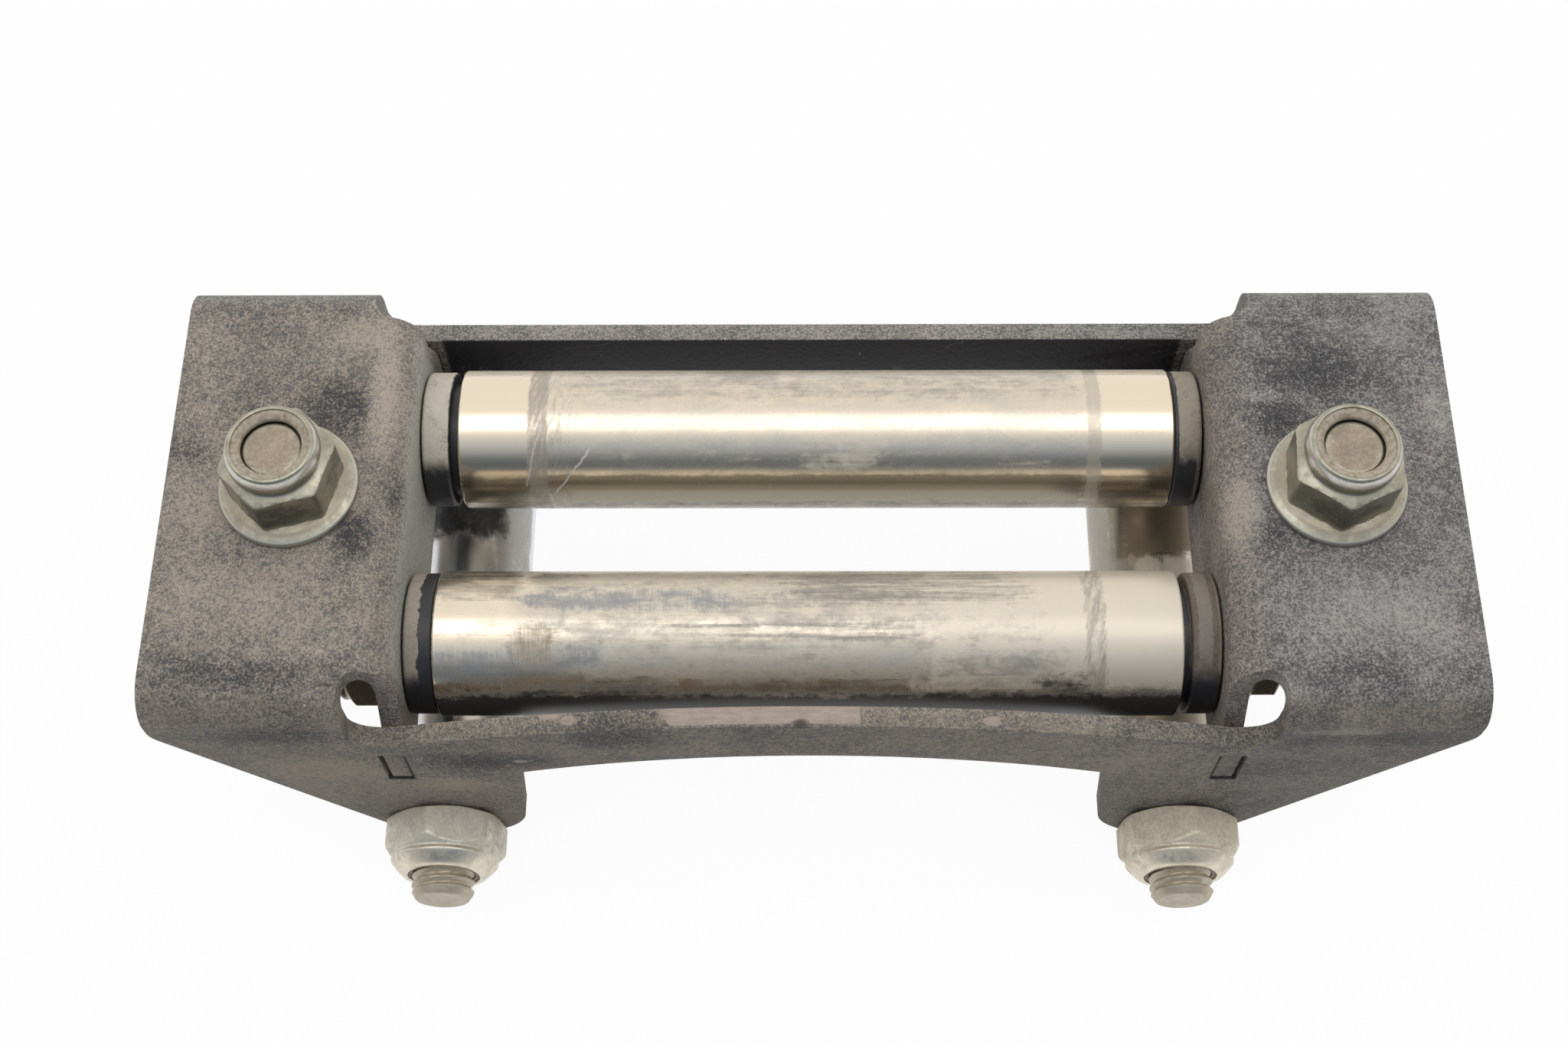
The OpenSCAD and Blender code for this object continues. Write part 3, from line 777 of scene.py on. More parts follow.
@dataclass(frozen=True)
class Hardware:
    """Zinc plating of bolts and nuts, with dust in the corners."""

    name: str
    zinc: Triple
    dull: Triple
    film: float
    dust: Triple = (0.47, 0.375, 0.28)
    # Dark grime colour; on the mounting nuts it also paints the shade on the flats facing down the part
    grime_and_shade: Triple = (0.085, 0.080, 0.060)
    shine: float = 0.22
    metal: float = 1.0
    dusty: tuple[Patch, ...] = ()
    # Grime patches, which on the mounting nuts also paint shade on the flats facing down the part
    soiled_and_shaded: tuple[Patch, ...] = ()
    rims: tuple[Rim, ...] = ()

    @staticmethod
    def spread(g: Paint, patches: tuple[Patch, ...], ragged: Sock) -> Sock:
        """How far a set of patches covers a place, their edges broken by noise."""
        cover = strongest(g, patches, 0.45)
        return (cover + ragged * cover.step(0.0, 0.3)).step(0.15, 0.85)

    def material(self) -> bpy.types.Material:
        """Builds the finish.

        Returns:
            The material.
        """
        g = Paint(self.name)
        cloud = g.noise(2.6, 6.0, 0.68, 0.6) * 1.7
        fine = g.noise(0.5, 4.0, 0.72) * 1.5
        film = (cloud * 0.8 + fine * 0.25 + self.film).step(0.0, 1.0)
        cover = self.spread(g, self.dusty, cloud * 0.4 + fine * 0.4)
        # Grime, and on the mounting nuts painted shade on their lower flats
        soil = self.spread(g, self.soiled_and_shaded, cloud * 0.6 + fine * 0.3)
        colour = g.mix(soil * 0.85, g.mix(film, self.zinc, self.dull), self.grime_and_shade)
        metal, rough = self.metal - film * 0.2 - soil * 0.3, film * 0.18 + soil * 0.15 + self.shine
        # Rims of dust and rubbed zinc; on the mounting nuts one is a painted highlight round the collar's top
        for rim in self.rims:
            share = rim.weigh(g, cloud * 0.4 + fine * 0.5)
            colour, metal = g.mix(share, colour, rim.colour), metal.towards(rim.metal, share)
        shade = tuple(0.62 * part for part in self.dust)
        tone = g.mix((fine * 0.8 + cloud * 0.5).step(-0.4, 0.4), self.dust, shade)
        return g.finish(
            Base_Color=g.mix(cover * 0.9, colour, tone),
            Metallic=metal - cover * 0.6 * self.metal,
            Roughness=rough + cover * 0.36,
            Normal=g.bump(fine * 0.35 + cloud * 0.25 + 0.5, 0.04, 0.5),
        )


@dataclass(frozen=True)
class Nylon:
    """Dusty nylon of the locking rings."""

    name: str = "locking_nylon"
    body: Triple = (0.44, 0.385, 0.30)
    dirt: Triple = (0.26, 0.20, 0.135)

    def material(self) -> bpy.types.Material:
        """Builds the finish.

        Returns:
            The material.
        """
        g = Paint(self.name)
        fine = g.noise(0.7, 4.0, 0.6)
        return g.finish(
            Base_Color=g.mix(fine.step(-0.15, 0.25), self.body, self.dirt),
            Roughness=fine * 0.3 + 0.65,
            Normal=g.bump(fine + 0.5, 0.04, 0.6),
        )


Finish = Union[PowderCoat, RollerZinc, BushPlastic, Hardware, Nylon]


@lru_cache(maxsize=None)
def material_of(finish: Finish) -> bpy.types.Material:
    """The material of a finish, made once."""
    return finish.material()


# Surfaces worked out with numpy


class Ends(Enum):
    """How a turned surface ends along its profile."""

    POLES = "poles"
    LOOP = "loop"


@dataclass(frozen=True)
class Place:
    """Where a turned piece stands: its origin and the directions of its own axes, in millimetres."""

    origin: Sequence[float]
    axes: np.ndarray

    def put(self, points: np.ndarray) -> np.ndarray:
        """Carries points from the piece's own axes to the part's frame."""
        return points @ self.axes.T + np.asarray(self.origin)


def turn(axis: str, degrees: float) -> np.ndarray:
    """Rotation matrix about one axis."""
    return np.array(Matrix.Rotation(math.radians(degrees), 3, axis))


def axle_axes(level: bool, turned: float, flipped: bool) -> np.ndarray:
    """Axes of a piece on an axle.

    Args:
        level: True on a level axle, False on an upright one.
        turned: turn about the axle in degrees.
        flipped: True where the piece points to the left or downwards.

    Returns:
        The axes as columns, +Z of the piece along the axle.
    """
    flip = turn("Y", 180.0) if flipped else np.eye(3)
    if level:
        return turn("Y", 90.0) @ turn("Z", turned) @ flip
    return turn("X", -90.0) @ flip @ turn("Z", turned)


def angles(around: int) -> np.ndarray:
    """Even angles once round an axis."""
    return 2 * math.pi * np.arange(around) / around


def round_profile(points: Sequence[Triple], steps: int = 5) -> np.ndarray:
    """Rounds the corners of a profile.

    Each corner (radius, station, rounding) becomes an arc of a quadratic curve, from a point at
    the rounding's distance before the corner to one at the same distance after it.

    Args:
        points: corners of the profile, the first and last kept sharp.
        steps: points on each arc.

    Returns:
        Rows of radius and station.
    """
    corners = np.array(points, float)
    spots, cuts = corners[:, :2], corners[:, 2]
    share = np.linspace(0.0, 1.0, steps)[:, None]
    rows = [spots[:1]]
    for before, here, after, cut in zip(spots[:-2], spots[1:-1], spots[2:], cuts[1:-1]):
        if cut <= 0.0:
            rows.append(here[None])
            continue
        back, ahead = before - here, after - here
        start = here + back * min(0.49, cut / np.linalg.norm(back))
        end = here + ahead * min(0.49, cut / np.linalg.norm(ahead))
        rows.append((1 - share) ** 2 * start + 2 * share * (1 - share) * here + share**2 * end)
    rows.append(spots[-1:])
    return np.vstack(rows)


def dense(profile: np.ndarray, longest: float) -> np.ndarray:
    """Adds stations to a profile so that no step is longer than a given length.

    Args:
        profile: rows of radius and station.
        longest: longest step in millimetres.

    Returns:
        The denser profile.
    """
    steps = np.linalg.norm(np.diff(profile, axis=0), axis=1)
    parts = np.maximum(1, np.ceil(steps / longest)).astype(int)
    where = np.concatenate([i + np.arange(n) / n for i, n in enumerate(parts)] + [[len(profile) - 1]])
    count = np.arange(len(profile))
    return np.column_stack([np.interp(where, count, column) for column in profile.T])


def hexagon(theta: np.ndarray, across: float, power: float = 30.0) -> np.ndarray:
    """Radius of a hexagon with softened corners, corners at 0, 60 and so on.

    The radius is the half width divided by the power mean of the cosines towards the six flats.

    Args:
        theta: angles round the axis.
        across: width across the flats.
        power: sharpness of the corners.

    Returns:
        The radius at each angle.
    """
    flats = np.radians(30.0 + 60.0 * np.arange(6))
    towards = np.clip(np.cos(theta[:, None] - flats[None, :]), 0.0, None)
    return across / 2 / (towards**power).sum(axis=1) ** (1.0 / power)


def thread(
    theta: np.ndarray, station: np.ndarray, crest: float, depth: np.ndarray, pitch: float
) -> np.ndarray:
    """Radius of a right-hand thread.

    The radius falls from the crest by the depth times a flattened triangle wave of the station
    less the turn, so that the ridge climbs one pitch in each turn.

    Args:
        theta: angles round the axis.
        station: places along the axis.
        crest: outside radius.
        depth: depth of the groove at each station, as a column.
        pitch: climb of one turn.

    Returns:
        The radius at each station and angle.
    """
    phase = np.mod(station[:, None] / pitch - theta[None, :] / (2 * math.pi), 1.0)
    wave = np.clip(np.abs(phase - 0.5) * 2.6 - 0.15, 0.0, 1.0)
    return crest - depth * wave


def turned_mesh(radius: np.ndarray, station: np.ndarray, ends: Ends) -> tuple[np.ndarray, list]:
    """Points and faces of a turned surface.

    A point lies at its ring's radius times the cosine and sine of its angle, at its ring's
    station. Neighbouring rings are joined by quads; poles close an open profile, and a looped
    profile joins its last ring to its first.

    Args:
        radius: radius at each ring and angle.
        station: place of each ring along the axis.
        ends: how the profile ends.

    Returns:
        The points and the faces.
    """
    rings, around = radius.shape
    theta, lift = angles(around), np.broadcast_to(station[:, None], radius.shape)
    points = np.stack([radius * np.cos(theta), radius * np.sin(theta), lift], axis=2).reshape(-1, 3)
    last = rings if ends is Ends.LOOP else rings - 1
    row, column = np.meshgrid(np.arange(last), np.arange(around), indexing="ij")
    here, there, beside = row * around, (row + 1) % rings * around, (column + 1) % around
    quads = np.stack([here + column, here + beside, there + beside, there + column], axis=2)
    faces = quads.reshape(-1, 4).tolist()
    if ends is Ends.POLES:
        first, base = len(points), len(points) - around
        points = np.vstack([points, [[0.0, 0.0, station[0]], [0.0, 0.0, station[-1]]]])
        spot = np.arange(around)
        after = (spot + 1) % around
        faces += np.column_stack([np.full(around, first), after, spot]).tolist()
        faces += np.column_stack([np.full(around, first + 1), base + spot, base + after]).tolist()
    return points, faces


def add_object(name: str, data: bpy.types.ID) -> bpy.types.Object:
    """Puts a new object into the scene, at the origin.

    Args:
        name: its name.
        data: its mesh, camera or lamp.

    Returns:
        The object.
    """
    made = bpy.data.objects.new(name, data)
    bpy.context.scene.collection.objects.link(made)
    return made


def add_piece(name: str, points: np.ndarray, faces: list, sharp: float) -> bpy.types.Object:
    """Makes a piece from points in millimetres.

    Args:
        name: the piece's name.
        points: its points in the part's frame.
        faces: its faces.
        sharp: angle in degrees past which an edge stays sharp.

    Returns:
        The new object, at the origin.
    """
    mesh = bpy.data.meshes.new(name)
    mesh.from_pydata((points * MM).tolist(), [], faces)
    work = bmesh.new()
    work.from_mesh(mesh)
    bmesh.ops.remove_doubles(work, verts=work.verts, dist=1e-7)
    bmesh.ops.recalc_face_normals(work, faces=work.faces)
    work.to_mesh(mesh)
    work.free()
    mesh.polygons.foreach_set("use_smooth", np.ones(len(mesh.polygons), bool))
    mesh.set_sharp_from_angle(angle=math.radians(sharp))
    return add_object(name, mesh)


def settle(piece: bpy.types.Object, finish: Finish, body: str, slot: str, *nodes: str) -> None:
    """Dresses a new piece and ties it to the frame.

    Args:
        piece: the new piece.
        finish: its finish.
        body: the body that it moves with.
        slot: the record's material slot; not used.
        nodes: the nodes that it stands for.
    """
    piece.data.materials.clear()
    piece.data.materials.append(material_of(finish))
    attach(piece, body)
    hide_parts(*nodes)
    LOG.info("%s rides on %s and stands for %s", piece.name, body, ", ".join(nodes))


def dress(node: str, finish: Finish) -> None:
    """Gives a node of the frame its finish.

    Args:
        node: the node's name.
        finish: its finish.
    """
    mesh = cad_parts[node].data
    mesh.materials.clear()
    mesh.materials.append(material_of(finish))
    LOG.info("%s has the finish %s", node, finish.name)


# Sizes shared by the pieces


@dataclass(frozen=True)
class Sizes:
    """Sizes of the bolts and nuts in millimetres."""

    shank_r: float = 5.0
    thread_r: float = 4.9
    thread_depth: float = 0.62
    thread_fade: float = 0.8
    tip_in: float = 0.8
    tip_len: float = 1.3
    pitch: float = 1.5
    thread_out: float = 3.7
    head_s: float = 15.0
    head_h: float = 6.4
    long_head_h: float = 9.0
    head_flange: float = 0.9
    head_cone: float = 2.6
    head_turn: float = 26.0
    flange_r: float = 10.4
    hex_s: float = 17.0
    nut_h: float = 9.2
    nut_hex_h: float = 5.9
    nut_turn: float = 37.0
    collar_r: float = 8.45
    flange_s: float = 15.0
    flange_nut_r: float = 10.25
    flange_nut_h: float = 13.0
    flange_hex_h: float = 9.4
    flange_collar_r: float = 6.8
    opening_out: float = 0.6
    ring_wall: float = 1.0
    lip_h: float = 0.4
    play: float = 0.02


SIZES = Sizes()
# Radius just past a hexagon's corners, as a share of its width across the flats
PAST_CORNER = 0.57


@dataclass(frozen=True)
class Span:
    """The box of a node at rest, in millimetres."""

    low: np.ndarray
    high: np.ndarray

    @classmethod
    def of(cls, node: str) -> "Span":
        """Reads the box of a node."""
        low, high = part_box(node)
        return cls(np.array(low) / MM, np.array(high) / MM)

    @property
    def middle(self) -> np.ndarray:
        """Middle of the box."""
        return (self.low + self.high) / 2

    @property
    def size(self) -> np.ndarray:
        """Size of the box along each axis."""
        return self.high - self.low


# Turned pieces


@dataclass(frozen=True)
class Turned:
    """A piece turned about its own +Z: a plain ring, where its kind says nothing else."""

    AROUND: ClassVar[int] = 120
    STEP: ClassVar[float] = 0.4
    SHARP: ClassVar[float] = 40.0
    ENDS: ClassVar[Ends] = Ends.LOOP

    name: str

    def corners(self) -> list[Triple]:
        """Corners of the profile as radius, station and rounding, given by each kind of piece."""
        raise NotImplementedError(self.name)

    def rings(self) -> tuple[np.ndarray, np.ndarray]:
        """Radius at each ring and angle, and the station of each ring."""
        profile = dense(round_profile(self.corners()), self.STEP)
        return np.repeat(profile[:, :1], self.AROUND, axis=1), profile[:, 1]

    def build(self, place: Place) -> bpy.types.Object:
        """Makes the piece at its place."""
        points, faces = turned_mesh(*self.rings(), self.ENDS)
        return add_piece(self.name, place.put(points), faces, self.SHARP)


@dataclass(frozen=True)
class Bolt(Turned):
    """A flange bolt with a real thread, built along +Z from the underside of its head."""

    SHARP: ClassVar[float] = 38.0
    ENDS: ClassVar[Ends] = Ends.POLES

    grip: float
    length: float
    head_h: float

    def rings(self) -> tuple[np.ndarray, np.ndarray]:
        """Works out the rings of the bolt.

        The profile runs from the middle of the head's top over its chamfer, flats, cone and
        flange to the shank and the tip. Rings above the flange take the larger of the cone and
        the hexagon, and the rings past the grip follow the thread.

        Returns:
            Radius at each ring and angle, and the station of each ring.
        """
        theta = angles(self.AROUND)
        top, corner, across = -self.head_h, SIZES.head_s * PAST_CORNER, SIZES.head_s
        rim = [(0.35 * across, top, 0.0), (0.475 * across, top, 0.25), (corner, top + 1.0, 0.3)]
        foot = [
            (corner, -SIZES.head_cone, 0.4),
            (SIZES.flange_r, -SIZES.head_flange, 0.4),
            (SIZES.flange_r, 0.0, 0.25),
        ]
        tip = SIZES.thread_r - SIZES.tip_in
        rest = [
            (SIZES.shank_r, 0.0, 0.0),
            (SIZES.shank_r, self.grip, 0.0),
            (SIZES.thread_r, self.grip, 0.0),
            (SIZES.thread_r, self.length - SIZES.tip_len, 0.3),
            (tip, self.length, 0.35),
            (0.5 * tip, self.length, 0.0),
        ]
        head = dense(round_profile(rim + foot + rest[:1]), self.STEP)
        profile = np.vstack([head, dense(round_profile(rest[1:]), SIZES.pitch / 12)])
        radius, station = np.repeat(profile[:, :1], self.AROUND, axis=1), profile[:, 1]
        above = (np.arange(len(profile)) < len(head) - 1) & (station < -SIZES.head_flange - 0.3)
        cone = [-SIZES.head_cone - 0.6, -SIZES.head_cone, -SIZES.head_flange]
        slope = np.interp(station[above], cone, [0.0, across / 2, SIZES.flange_r])
        flats = np.maximum(hexagon(theta, across), slope[:, None])
        radius[above] = np.minimum(radius[above], flats)
        cut = station > self.grip + 0.01
        fade = np.clip((self.length - station) / SIZES.thread_fade - 1.0, 0.0, 1.0)
        depth = SIZES.thread_depth * fade[:, None]
        groove = thread(theta, station, SIZES.thread_r, depth, SIZES.pitch)
        radius[cut] = np.minimum(radius[cut], groove[cut])
        return radius, station


@dataclass(frozen=True)
class LockNut(Turned):
    """A lock nut with a rounded collar, plain or with a flange, built along +Z from its seat."""

    STEP: ClassVar[float] = 0.3
    SHARP: ClassVar[float] = 30.0

    across: float = SIZES.hex_s
    height: float = SIZES.nut_h
    hex_h: float = SIZES.nut_hex_h
    collar_r: float = SIZES.collar_r
    flange_r: float = 0.0
    ring_len: float = 2.2

    def foot(self, bore: float, corner: float) -> list[Triple]:
        """Profile from the bore's foot to the flats: corners as radius, station and rounding.

        Args:
            bore: radius of the bore.
            corner: radius just past the hexagon's corners.

        Returns:
            The corners.
        """
        if not self.flange_r:
            return [(bore, 0.0, 0.0), (self.across * 0.47, 0.0, 0.1), (corner, 0.75, 0.2)]
        return [
            (bore, 0.0, 0.0),
            (self.flange_r - 0.1, 0.0, 0.15),
            (self.flange_r, 0.9, 0.4),
            (corner, 1.7, 0.25),
            (corner, 2.6, 0.2),
        ]

    def crown(self, corner: float) -> list[Triple]:
        """Profile from the flats over the chamfer and the collar: corners as radius, station and rounding.

        Args:
            corner: radius just past the hexagon's corners.

        Returns:
            The corners.
        """
        rise, top = self.hex_h, self.height - 0.1
        if not self.flange_r:
            return [
                (corner, rise - 1.1, 0.6),
                (self.across / 2 - 0.3, rise + 0.3, 0.4),
                (self.collar_r, rise + 0.9, 0.5),
                (self.collar_r - 0.15, self.height - 2.0, 1.2),
                (self.collar_r - 1.9, top, 1.2),
            ]
        return [
            (corner, rise - 0.9, 0.3),
            (self.collar_r - 0.4, rise + 0.1, 0.4),
            (self.collar_r, rise + 0.7, 0.6),
            (self.collar_r, self.height - 1.5, 1.2),
            (self.collar_r - 0.55, top, 1.0),
        ]

    def corners(self) -> list[Triple]:
        """Profile of the whole nut: corners as radius, station and rounding.

        It runs from the bore's foot over the seat, the flats, the chamfer and the rounded collar
        into the opening and down past the seat of the nylon ring.

        Returns:
            The corners.
        """
        bore, corner = SIZES.thread_r + SIZES.play, self.across * PAST_CORNER
        opening, ring = SIZES.shank_r + SIZES.opening_out, SIZES.shank_r + SIZES.ring_wall + SIZES.play
        lip = self.height - SIZES.lip_h
        pocket = [
            (opening, self.height - 0.05, 0.3),
            (opening, lip, 0.0),
            (ring, lip, 0.0),
            (ring, lip - self.ring_len, 0.0),
            (bore, lip - self.ring_len, 0.0),
            (bore, 0.2, 0.0),
        ]
        return self.foot(bore, corner) + self.crown(corner) + pocket

    def rings(self) -> tuple[np.ndarray, np.ndarray]:
        """Works out the rings of the nut.

        Rings on the hexagon take the smaller of the profile and the hexagon's own radius. On a
        flange nut the flange's slope runs up to the flats.

        Returns:
            Radius at each ring and angle, and the station of each ring.
        """
        radius, station = super().rings()
        low, waist = 1.0 if self.flange_r else -1.0, self.collar_r - 0.15
        flats = (station > low) & (station < self.hex_h + 0.1) & (radius[:, 0] > waist)
        shaped = np.minimum(radius[flats], hexagon(angles(self.AROUND), self.across))
        if self.flange_r:
            reach = [self.flange_r, self.across * PAST_CORNER, self.across / 2, 0.0]
            slope = np.interp(station[flats], [0.9, 1.7, 2.0, 2.3], reach)
            shaped = np.maximum(shaped, np.minimum(radius[flats], slope[:, None]))
        radius[flats] = shaped
        return radius, station


@dataclass(frozen=True)
class LockRing(Turned):
    """A nylon ring that narrows past the bolt's end, built along +Z from its foot."""

    AROUND: ClassVar[int] = 96

    outer_r: float
    height: float
    bolt_end: float
    narrow_r: float = 4.35

    def corners(self) -> list[Triple]:
        """Corners of a looped profile round the bolt's end."""
        bore = SIZES.thread_r + SIZES.play
        return [
            (bore, 0.0, 0.0),
            (self.outer_r, 0.0, 0.0),
            (self.outer_r, self.height, 0.0),
            (self.narrow_r + 0.8, self.height, 0.3),
            (self.narrow_r, self.height - 0.5, 0.25),
            (self.narrow_r, self.bolt_end + 0.1, 0.1),
            (bore, self.bolt_end - 0.5, 0.1),
            (bore, 0.1, 0.0),
        ]


@dataclass(frozen=True)
class Tube(Turned):
    """A roller tube with rounded ends, built along +Z about its middle."""

    AROUND: ClassVar[int] = 160
    STEP: ClassVar[float] = 4.0

    length: float
    outer_r: float
    wall: float = 2.0

    def corners(self) -> list[Triple]:
        """Corners of a looped profile of two walls and two ends."""
        half, inner_r = self.length / 2, self.outer_r - self.wall
        return [
            (self.outer_r, 0.0, 0.0),
            (self.outer_r, half, 0.45),
            (inner_r, half, 0.2),
            (inner_r, -half, 0.2),
            (self.outer_r, -half, 0.45),
            (self.outer_r, -0.2, 0.0),
        ]


# Sub-assemblies


@dataclass
class FrameSheet:
    """The bent sheet frame."""

    finish: PowderCoat = PowderCoat()
    edge: float = 0.45
    edge_steps: int = 3
    edge_angle: float = 40.0
    flat_angle: float = 0.4
    merge: float = 0.002

    def build(self) -> None:
        """Copies the frame node, merges its triangles and rounds its sharp edges."""
        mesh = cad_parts["frame"].data.copy()
        mesh.name = "frame_sheet"
        work = bmesh.new()
        work.from_mesh(mesh)
        bmesh.ops.remove_doubles(work, verts=work.verts, dist=self.merge * MM)
        flat = math.radians(self.flat_angle)
        bmesh.ops.dissolve_limit(work, angle_limit=flat, verts=work.verts, edges=work.edges, delimit=set())
        work.to_mesh(mesh)
        work.free()
        mesh.polygons.foreach_set("use_smooth", np.ones(len(mesh.polygons), bool))
        piece = add_object("frame_sheet", mesh)
        rounding = piece.modifiers.new("edges", "BEVEL")
        rounding.width = self.edge * MM
        rounding.segments = self.edge_steps
        rounding.limit_method = "ANGLE"
        rounding.angle_limit = math.radians(self.edge_angle)
        rounding.use_clamp_overlap = True
        rounding.harden_normals = True
        settle(piece, self.finish, "frame_body", "coat", "frame")


@dataclass
class Roller:
    """A level or upright roller on its axle: tube, bushes, bolt and lock nut."""

    key: str
    level: bool
    zinc: RollerZinc
    bushes: Mapping[str, BushPlastic]
    bolt_steel: Hardware
    nut_steel: Hardware
    bolt_turn: float
    nut_turn: float

    def build(self) -> None:
        """Makes and dresses the roller's pieces."""
        along, across = (0, 1) if self.level else (1, 0)
        span = Span.of(f"{self.key}_tube")
        seat = Span.of(f"{self.key}_nut").high[along]
        at_nut, at_head = span.middle, span.middle
        at_nut[along], at_head[along] = seat, -seat
        grip = -2 * seat
        tube = Tube(f"{self.key}_roller_tube", span.size[along], span.size[across] / 2)
        bolt = Bolt(f"{self.key}_axle_bolt", grip, grip + SIZES.nut_h + SIZES.thread_out, SIZES.head_h)
        nut = LockNut(f"{self.key}_lock_nut")
        settle(
            tube.build(Place(span.middle, axle_axes(self.level, 0.0, False))),
            self.zinc, f"{self.key}_roller", "roller_zinc", f"{self.key}_tube",
        )
        settle(
            bolt.build(Place(at_head, axle_axes(self.level, self.bolt_turn, True))),
            self.bolt_steel, "frame_body", "bright_zinc", f"{self.key}_axle",
        )
        settle(
            nut.build(Place(at_nut, axle_axes(self.level, self.nut_turn, True))),
            self.nut_steel, "frame_body", "bright_zinc", f"{self.key}_nut",
        )
        for end, plastic in self.bushes.items():
            dress(f"{self.key}_bush_{end}", plastic)
        dress(f"{self.key}_insert", Nylon())


@dataclass
class MountSet:
    """A mounting bolt from behind with its flange nut on the front plate."""

    key: str
    nut_turn: float
    steel: Hardware
    recess: float = 1.6

    def build(self) -> None:
        """Makes and dresses the bolt, the nut and its ring."""
        nut_span, bolt_span = Span.of(f"{self.key}_mount_nut"), Span.of(f"{self.key}_mount_bolt")
        x, seat = nut_span.middle[0], nut_span.low[2]
        grip = -(bolt_span.low[2] + SIZES.long_head_h)
        length = grip + seat + SIZES.flange_nut_h - self.recess
        bolt = Bolt(f"{self.key}_mounting_bolt", grip, length, SIZES.long_head_h)
        settle(
            bolt.build(Place((x, 0.0, -grip), np.eye(3))),
            self.steel, "frame_body", "dull_zinc", f"{self.key}_mount_bolt",
        )
        nut = LockNut(
            f"{self.key}_flange_nut", SIZES.flange_s, SIZES.flange_nut_h, SIZES.flange_hex_h,
            SIZES.flange_collar_r, SIZES.flange_nut_r,
        )
        settle(
            nut.build(Place((x, 0.0, seat), turn("Z", self.nut_turn))),
            self.steel, "frame_body", "dull_zinc", f"{self.key}_mount_nut",
        )
        ring_span = Span.of(f"{self.key}_mount_insert")
        foot = ring_span.low[2]
        ring = LockRing(
            f"{self.key}_nylon_ring", ring_span.size[0] / 2, ring_span.size[2],
            seat + SIZES.flange_nut_h - self.recess - foot,
        )
        settle(
            ring.build(Place((x, 0.0, foot), np.eye(3))),
            Nylon(), "frame_body", "nylon", f"{self.key}_mount_insert",
        )


@dataclass
class Studio:
    """Camera, lamp, world and floor."""

    focal: float = 48.353
    sensor: float = 36.0
    clip: Pair = (0.01, 50.0)
    eye: Triple = (-0.795, -140.81, 275.41)
    pitch: float = -26.319
    yaw: float = -0.596
    roll: float = 0.065
    floor_z: float = -54.85
    floor_half: float = 25.0
    front: Triple = (0.110, 0.138, 0.172)
    haze: Triple = (0.53, 0.60, 0.70)
    room: Triple = (0.98, 0.965, 0.945)
    lower_step: Pair = (22.0, 56.0)
    upper_step: Pair = (50.0, 82.0)
    lamp_power: float = 2.95
    lamp_place: Triple = (0.0, 0.01, 1.10)
    lamp_size: Pair = (1.6, 0.50)
    floor_paint: Triple = (0.86, 0.86, 0.855)
    floor_glow: float = 0.95

    def camera(self) -> None:
        """Stands the camera where the photograph was taken."""
        data = bpy.data.cameras.new("camera")
        data.sensor_fit = "HORIZONTAL"
        data.sensor_width = self.sensor
        data.lens = self.focal
        data.clip_start, data.clip_end = self.clip
        to_camera = (
            Matrix.Rotation(math.radians(self.roll), 3, "Z")
            @ Matrix.Rotation(math.radians(self.yaw), 3, "Y")
            @ Matrix.Rotation(math.radians(self.pitch), 3, "X")
        )
        made = add_object("camera", data)
        made.matrix_world = Matrix.Translation(Vector(self.eye) * MM) @ to_camera.transposed().to_4x4()
        bpy.context.scene.camera = made

    def lamp(self) -> None:
        """Hangs one long soft lamp over the part."""
        data = bpy.data.lights.new("long_softbox", "AREA")
        data.shape = "RECTANGLE"
        data.size, data.size_y = self.lamp_size
        data.energy = self.lamp_power
        made = add_object("long_softbox", data)
        made.location = self.lamp_place
        made.rotation_euler = (-Vector(self.lamp_place)).to_track_quat("-Z", "Y").to_euler()

    def world(self) -> None:
        """Lights the part with a plain room: pale overhead and behind, dim towards the front."""
        world = bpy.data.worlds.new("room")
        bpy.context.scene.world = world
        world.use_nodes = True
        g = Graph(world.node_tree, "Generated", 1.0)
        height = g.z.degrees(-g.y)
        low = g.mix(height.step(*self.lower_step), self.front, self.haze)
        sky = g.mix(height.step(*self.upper_step), low, self.room)
        shade = g.node("ShaderNodeBackground", {}, {"Color": sky})
        out = g.tree.nodes.new("ShaderNodeOutputWorld")
        g.tree.links.new(shade.socket, out.inputs["Surface"])

    def floor(self) -> None:
        """Lays a plain pale floor under the part, near white to the eye and to polished metal."""
        half = self.floor_half
        corners = [(-half, -half), (half, -half), (half, half), (-half, half)]
        mesh = bpy.data.meshes.new("floor")
        mesh.from_pydata([(x, y, self.floor_z * MM) for x, y in corners], [], [(0, 1, 2, 3)])
        made = add_object("floor", mesh)
        g = Paint("pale_floor")
        path = {name: g.node("ShaderNodeLightPath", {}, {}, name)
                for name in ("Is Camera Ray", "Is Glossy Ray", "Is Transmission Ray")}
        seen = path["Is Camera Ray"].over(path["Is Glossy Ray"]).over(path["Is Transmission Ray"])
        paint = g.node("ShaderNodeBsdfDiffuse", {}, {"Color": rgba(self.floor_paint)})
        glow = g.node("ShaderNodeEmission", {}, {"Color": rgba((1.0, 1.0, 1.0)), "Strength": 1.0})
        links = {0: seen * self.floor_glow, 1: paint, 2: glow}
        mesh.materials.append(g.show(g.node("ShaderNodeMixShader", {}, links)))

    def build(self) -> None:
        """Sets up the whole studio."""
        self.camera()
        self.lamp()
        self.world()
        self.floor()
        bpy.context.scene.view_settings.view_transform = "Standard"


